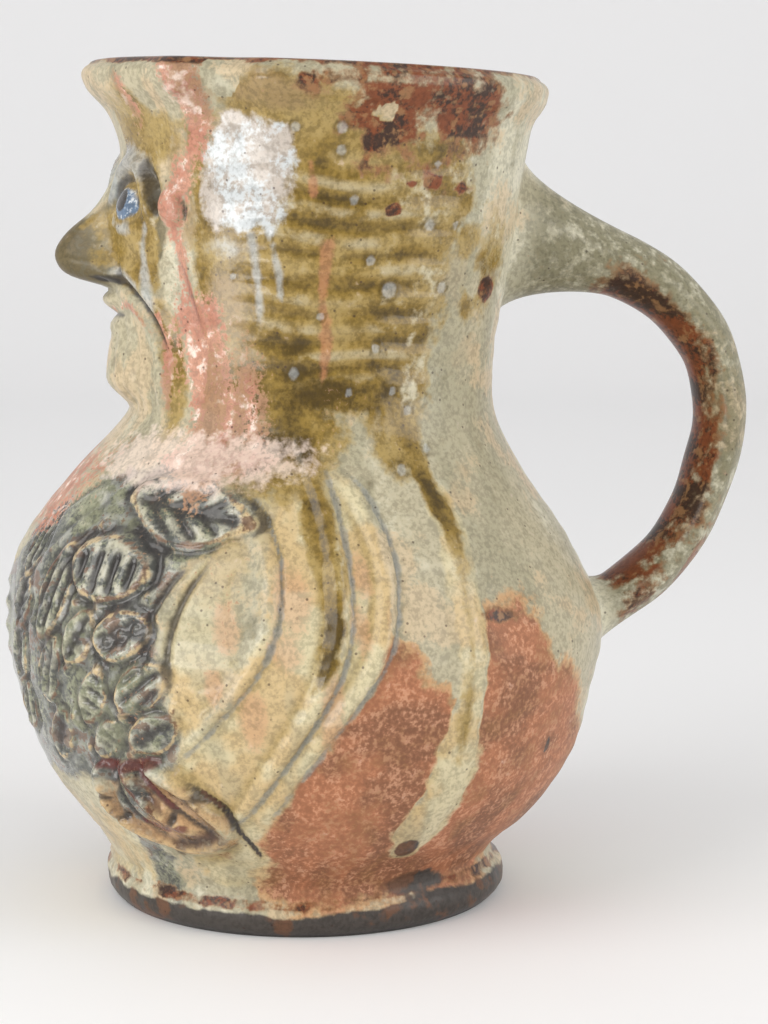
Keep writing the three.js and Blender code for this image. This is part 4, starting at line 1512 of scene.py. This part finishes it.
class PitcherGlazes(bpy.types.PropertyGroup):
    """The colours of the glazes, the slip and the bare clay, and of the painted shade, reflection and
    glints.
    """

    celadon: shade("Celadon", "Ash glaze under everything", 180, 171, 144)
    pale_celadon: shade("Pale celadon", "Where the ash glaze is thick", 202, 197, 174)
    grey_celadon: shade("Grey celadon", "Where the ash glaze ran", 154, 148, 122)
    buff: shade("Buff", "Where clay warms the ash glaze", 196, 174, 140)
    fawn: shade("Fawn", "Where the neck glaze is thin over clay", 142, 118, 82)
    # Painted shade on the beak, at the nostril and round the eyes.
    shadow: shade("Shadow", "Smoke on the beak and round the eyes", 96, 87, 60)
    strap_green: shade("Strap green", "The glaze on the handle", 113, 108, 81)
    # Milk and its warmer parts: white glaze with a painted reflection on the neck, and the painted
    # glints in the eye.
    haze: shade("Haze", "Bluish film in the runs", 176, 182, 184)
    milk_reflection: shade("Milk", "White patch on the neck", 194, 199, 201)
    milk_reflection_blush: shade("Milk blush", "Warmer parts of the white patch", 184, 174, 164)
    olive: shade("Olive", "Runny glaze on the neck", 132, 107, 44)
    olive_dark: shade("Dark olive", "The same glaze where it pooled", 80, 62, 14)
    gold: shade("Gold", "The same glaze where it is thin", 160, 137, 82)
    pink: shade("Pink", "Chalky slip by the eye", 194, 142, 120)
    pink_pale: shade("Pale pink", "The same slip where it is thin", 234, 214, 202)
    pink_deep: shade("Deep pink", "The same slip in the grooves", 176, 116, 96)
    cream: shade("Cream", "Glaze on the wings", 200, 189, 154)
    cream_gold: shade("Cream gold", "Wing glaze where it is thin", 194, 170, 126)
    blush: shade("Blush", "Clay glowing through the wing glaze", 190, 140, 108)
    salmon: shade("Salmon", "Bare slip on the belly", 174, 116, 84)
    salmon_dark: shade("Dark salmon", "The slip where it fired darker", 144, 98, 72)
    salmon_pale: shade("Pale salmon", "The slip where it fired paler", 204, 156, 124)
    ochre: shade("Ochre", "Glaze melting into the slip", 188, 148, 104)
    slate: shade("Slate", "Dark glaze on the breast", 88, 90, 84)
    slate_green: shade("Green slate", "The same glaze where it is thin", 136, 138, 112)
    slate_blue: shade("Blue slate", "Bluish spots in it", 142, 144, 138)
    ink: shade("Ink", "Glaze gathered in the drawn lines", 44, 40, 38)
    scorch: shade("Scorch", "Rusty edges of the feathers", 108, 72, 48)
    wine: shade("Wine", "Dark red in the folds of the claws", 96, 46, 40)
    iron_light: shade("Light iron", "Brown haze round the iron spots", 142, 104, 68)
    iron: shade("Iron", "Iron spots and the band on the handle", 118, 60, 30)
    iron_dark: shade("Dark iron", "The middle of the iron spots", 54, 33, 25)
    char: shade("Char", "The bare foot", 70, 65, 61)
    iris: shade("Iris", "The bird's eye", 92, 112, 136)


class PitcherStudio(bpy.types.PropertyGroup):
    """The table and the lights."""

    floor_radius: dial(
        "Table radius", "Flat part of the table", 1.5, 0.5, 4, subtype="DISTANCE", unit="LENGTH")
    floor_bend: dial(
        "Table bend", "Radius of the curve up all round", 0.5, 0.1, 1, subtype="DISTANCE",
        unit="LENGTH")
    floor_colour: shade("Table colour", "Pale linen", 244, 244, 245)
    air: dial("Air", "Light from all round", 0.66, 0, 3)
    key_watts: dial("Key", "Power of the large soft box", 6.4, 0, 60, unit="POWER")
    fill_watts: dial(
        "Fill", "Power of the soft box behind the handle", 5.5, 0, 60, unit="POWER")
    card_watts: dial(
        "Card", "Power of the low card that glints on the neck", 0.9, 0, 20, unit="POWER")
    wash_watts: dial(
        "Wall wash", "Power of the lamp that lights only the backdrop", 1.6, 0, 60, unit="POWER")


class PITCHER_OT_throw(bpy.types.Operator):
    """Throw the pitcher, carve it, pull its handle and glaze it"""

    bl_idname = "pitcher.throw"
    bl_label = "Throw the Pitcher"

    def execute(self, context):
        scene = context.scene
        wall = work_wall(scene.pitcher_sizes)
        points, faces = join_rings(*pot_rings(wall))
        pitcher = mesh_object("owl_pitcher", points, faces)
        handle = Handle()
        points, faces = join_rings(*handle.rings())
        join_handle(pitcher, mesh_object("strap", points, faces))
        write_glazes(pitcher, wall, handle)
        mesh = pitcher.data
        mesh.polygons.foreach_set("use_smooth", [True] * len(mesh.polygons))
        mesh.materials.clear()
        mesh.materials.append(glaze_pitcher(scene.pitcher_glazes))
        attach(pitcher, "root")
        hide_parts(PITCHER_NODE)
        return {"FINISHED"}


class PITCHER_OT_stage(bpy.types.Operator):
    """Lay the pale table, hang the lights and place the camera"""

    bl_idname = "pitcher.stage"
    bl_label = "Set the Stage"

    def execute(self, context):
        studio = context.scene.pitcher_studio
        sweep_floor(studio)
        light_studio(studio)
        place_camera()
        return {"FINISHED"}


class PITCHER_PT_panel(bpy.types.Panel):
    """The steps of making the pitcher, with its sizes and colours"""

    bl_idname = "PITCHER_PT_panel"
    bl_label = "Owl Pitcher"
    bl_space_type = "VIEW_3D"
    bl_region_type = "UI"
    bl_category = "Pitcher"

    def draw(self, context):
        scene = context.scene
        groups = (
            (PITCHER_OT_throw, (scene.pitcher_sizes, scene.pitcher_glazes)),
            (PITCHER_OT_stage, (scene.pitcher_studio,)),
        )
        for operator, settings in groups:
            box = self.layout.box()
            for group in settings:
                for name in group.__annotations__:
                    box.prop(group, name)
            box.operator(operator.bl_idname)


CLASSES = (
    PitcherSizes, PitcherGlazes, PitcherStudio, PITCHER_OT_throw, PITCHER_OT_stage,
    PITCHER_PT_panel,
)


def register():
    for made in CLASSES:
        bpy.utils.register_class(made)
    bpy.types.Scene.pitcher_sizes = bpy.props.PointerProperty(type=PitcherSizes)
    bpy.types.Scene.pitcher_glazes = bpy.props.PointerProperty(type=PitcherGlazes)
    bpy.types.Scene.pitcher_studio = bpy.props.PointerProperty(type=PitcherStudio)


def unregister():
    del bpy.types.Scene.pitcher_studio
    del bpy.types.Scene.pitcher_glazes
    del bpy.types.Scene.pitcher_sizes
    for made in reversed(CLASSES):
        bpy.utils.unregister_class(made)


def main():
    register()
    bpy.ops.pitcher.throw()
    bpy.ops.pitcher.stage()


if __name__ == "__main__":
    main()
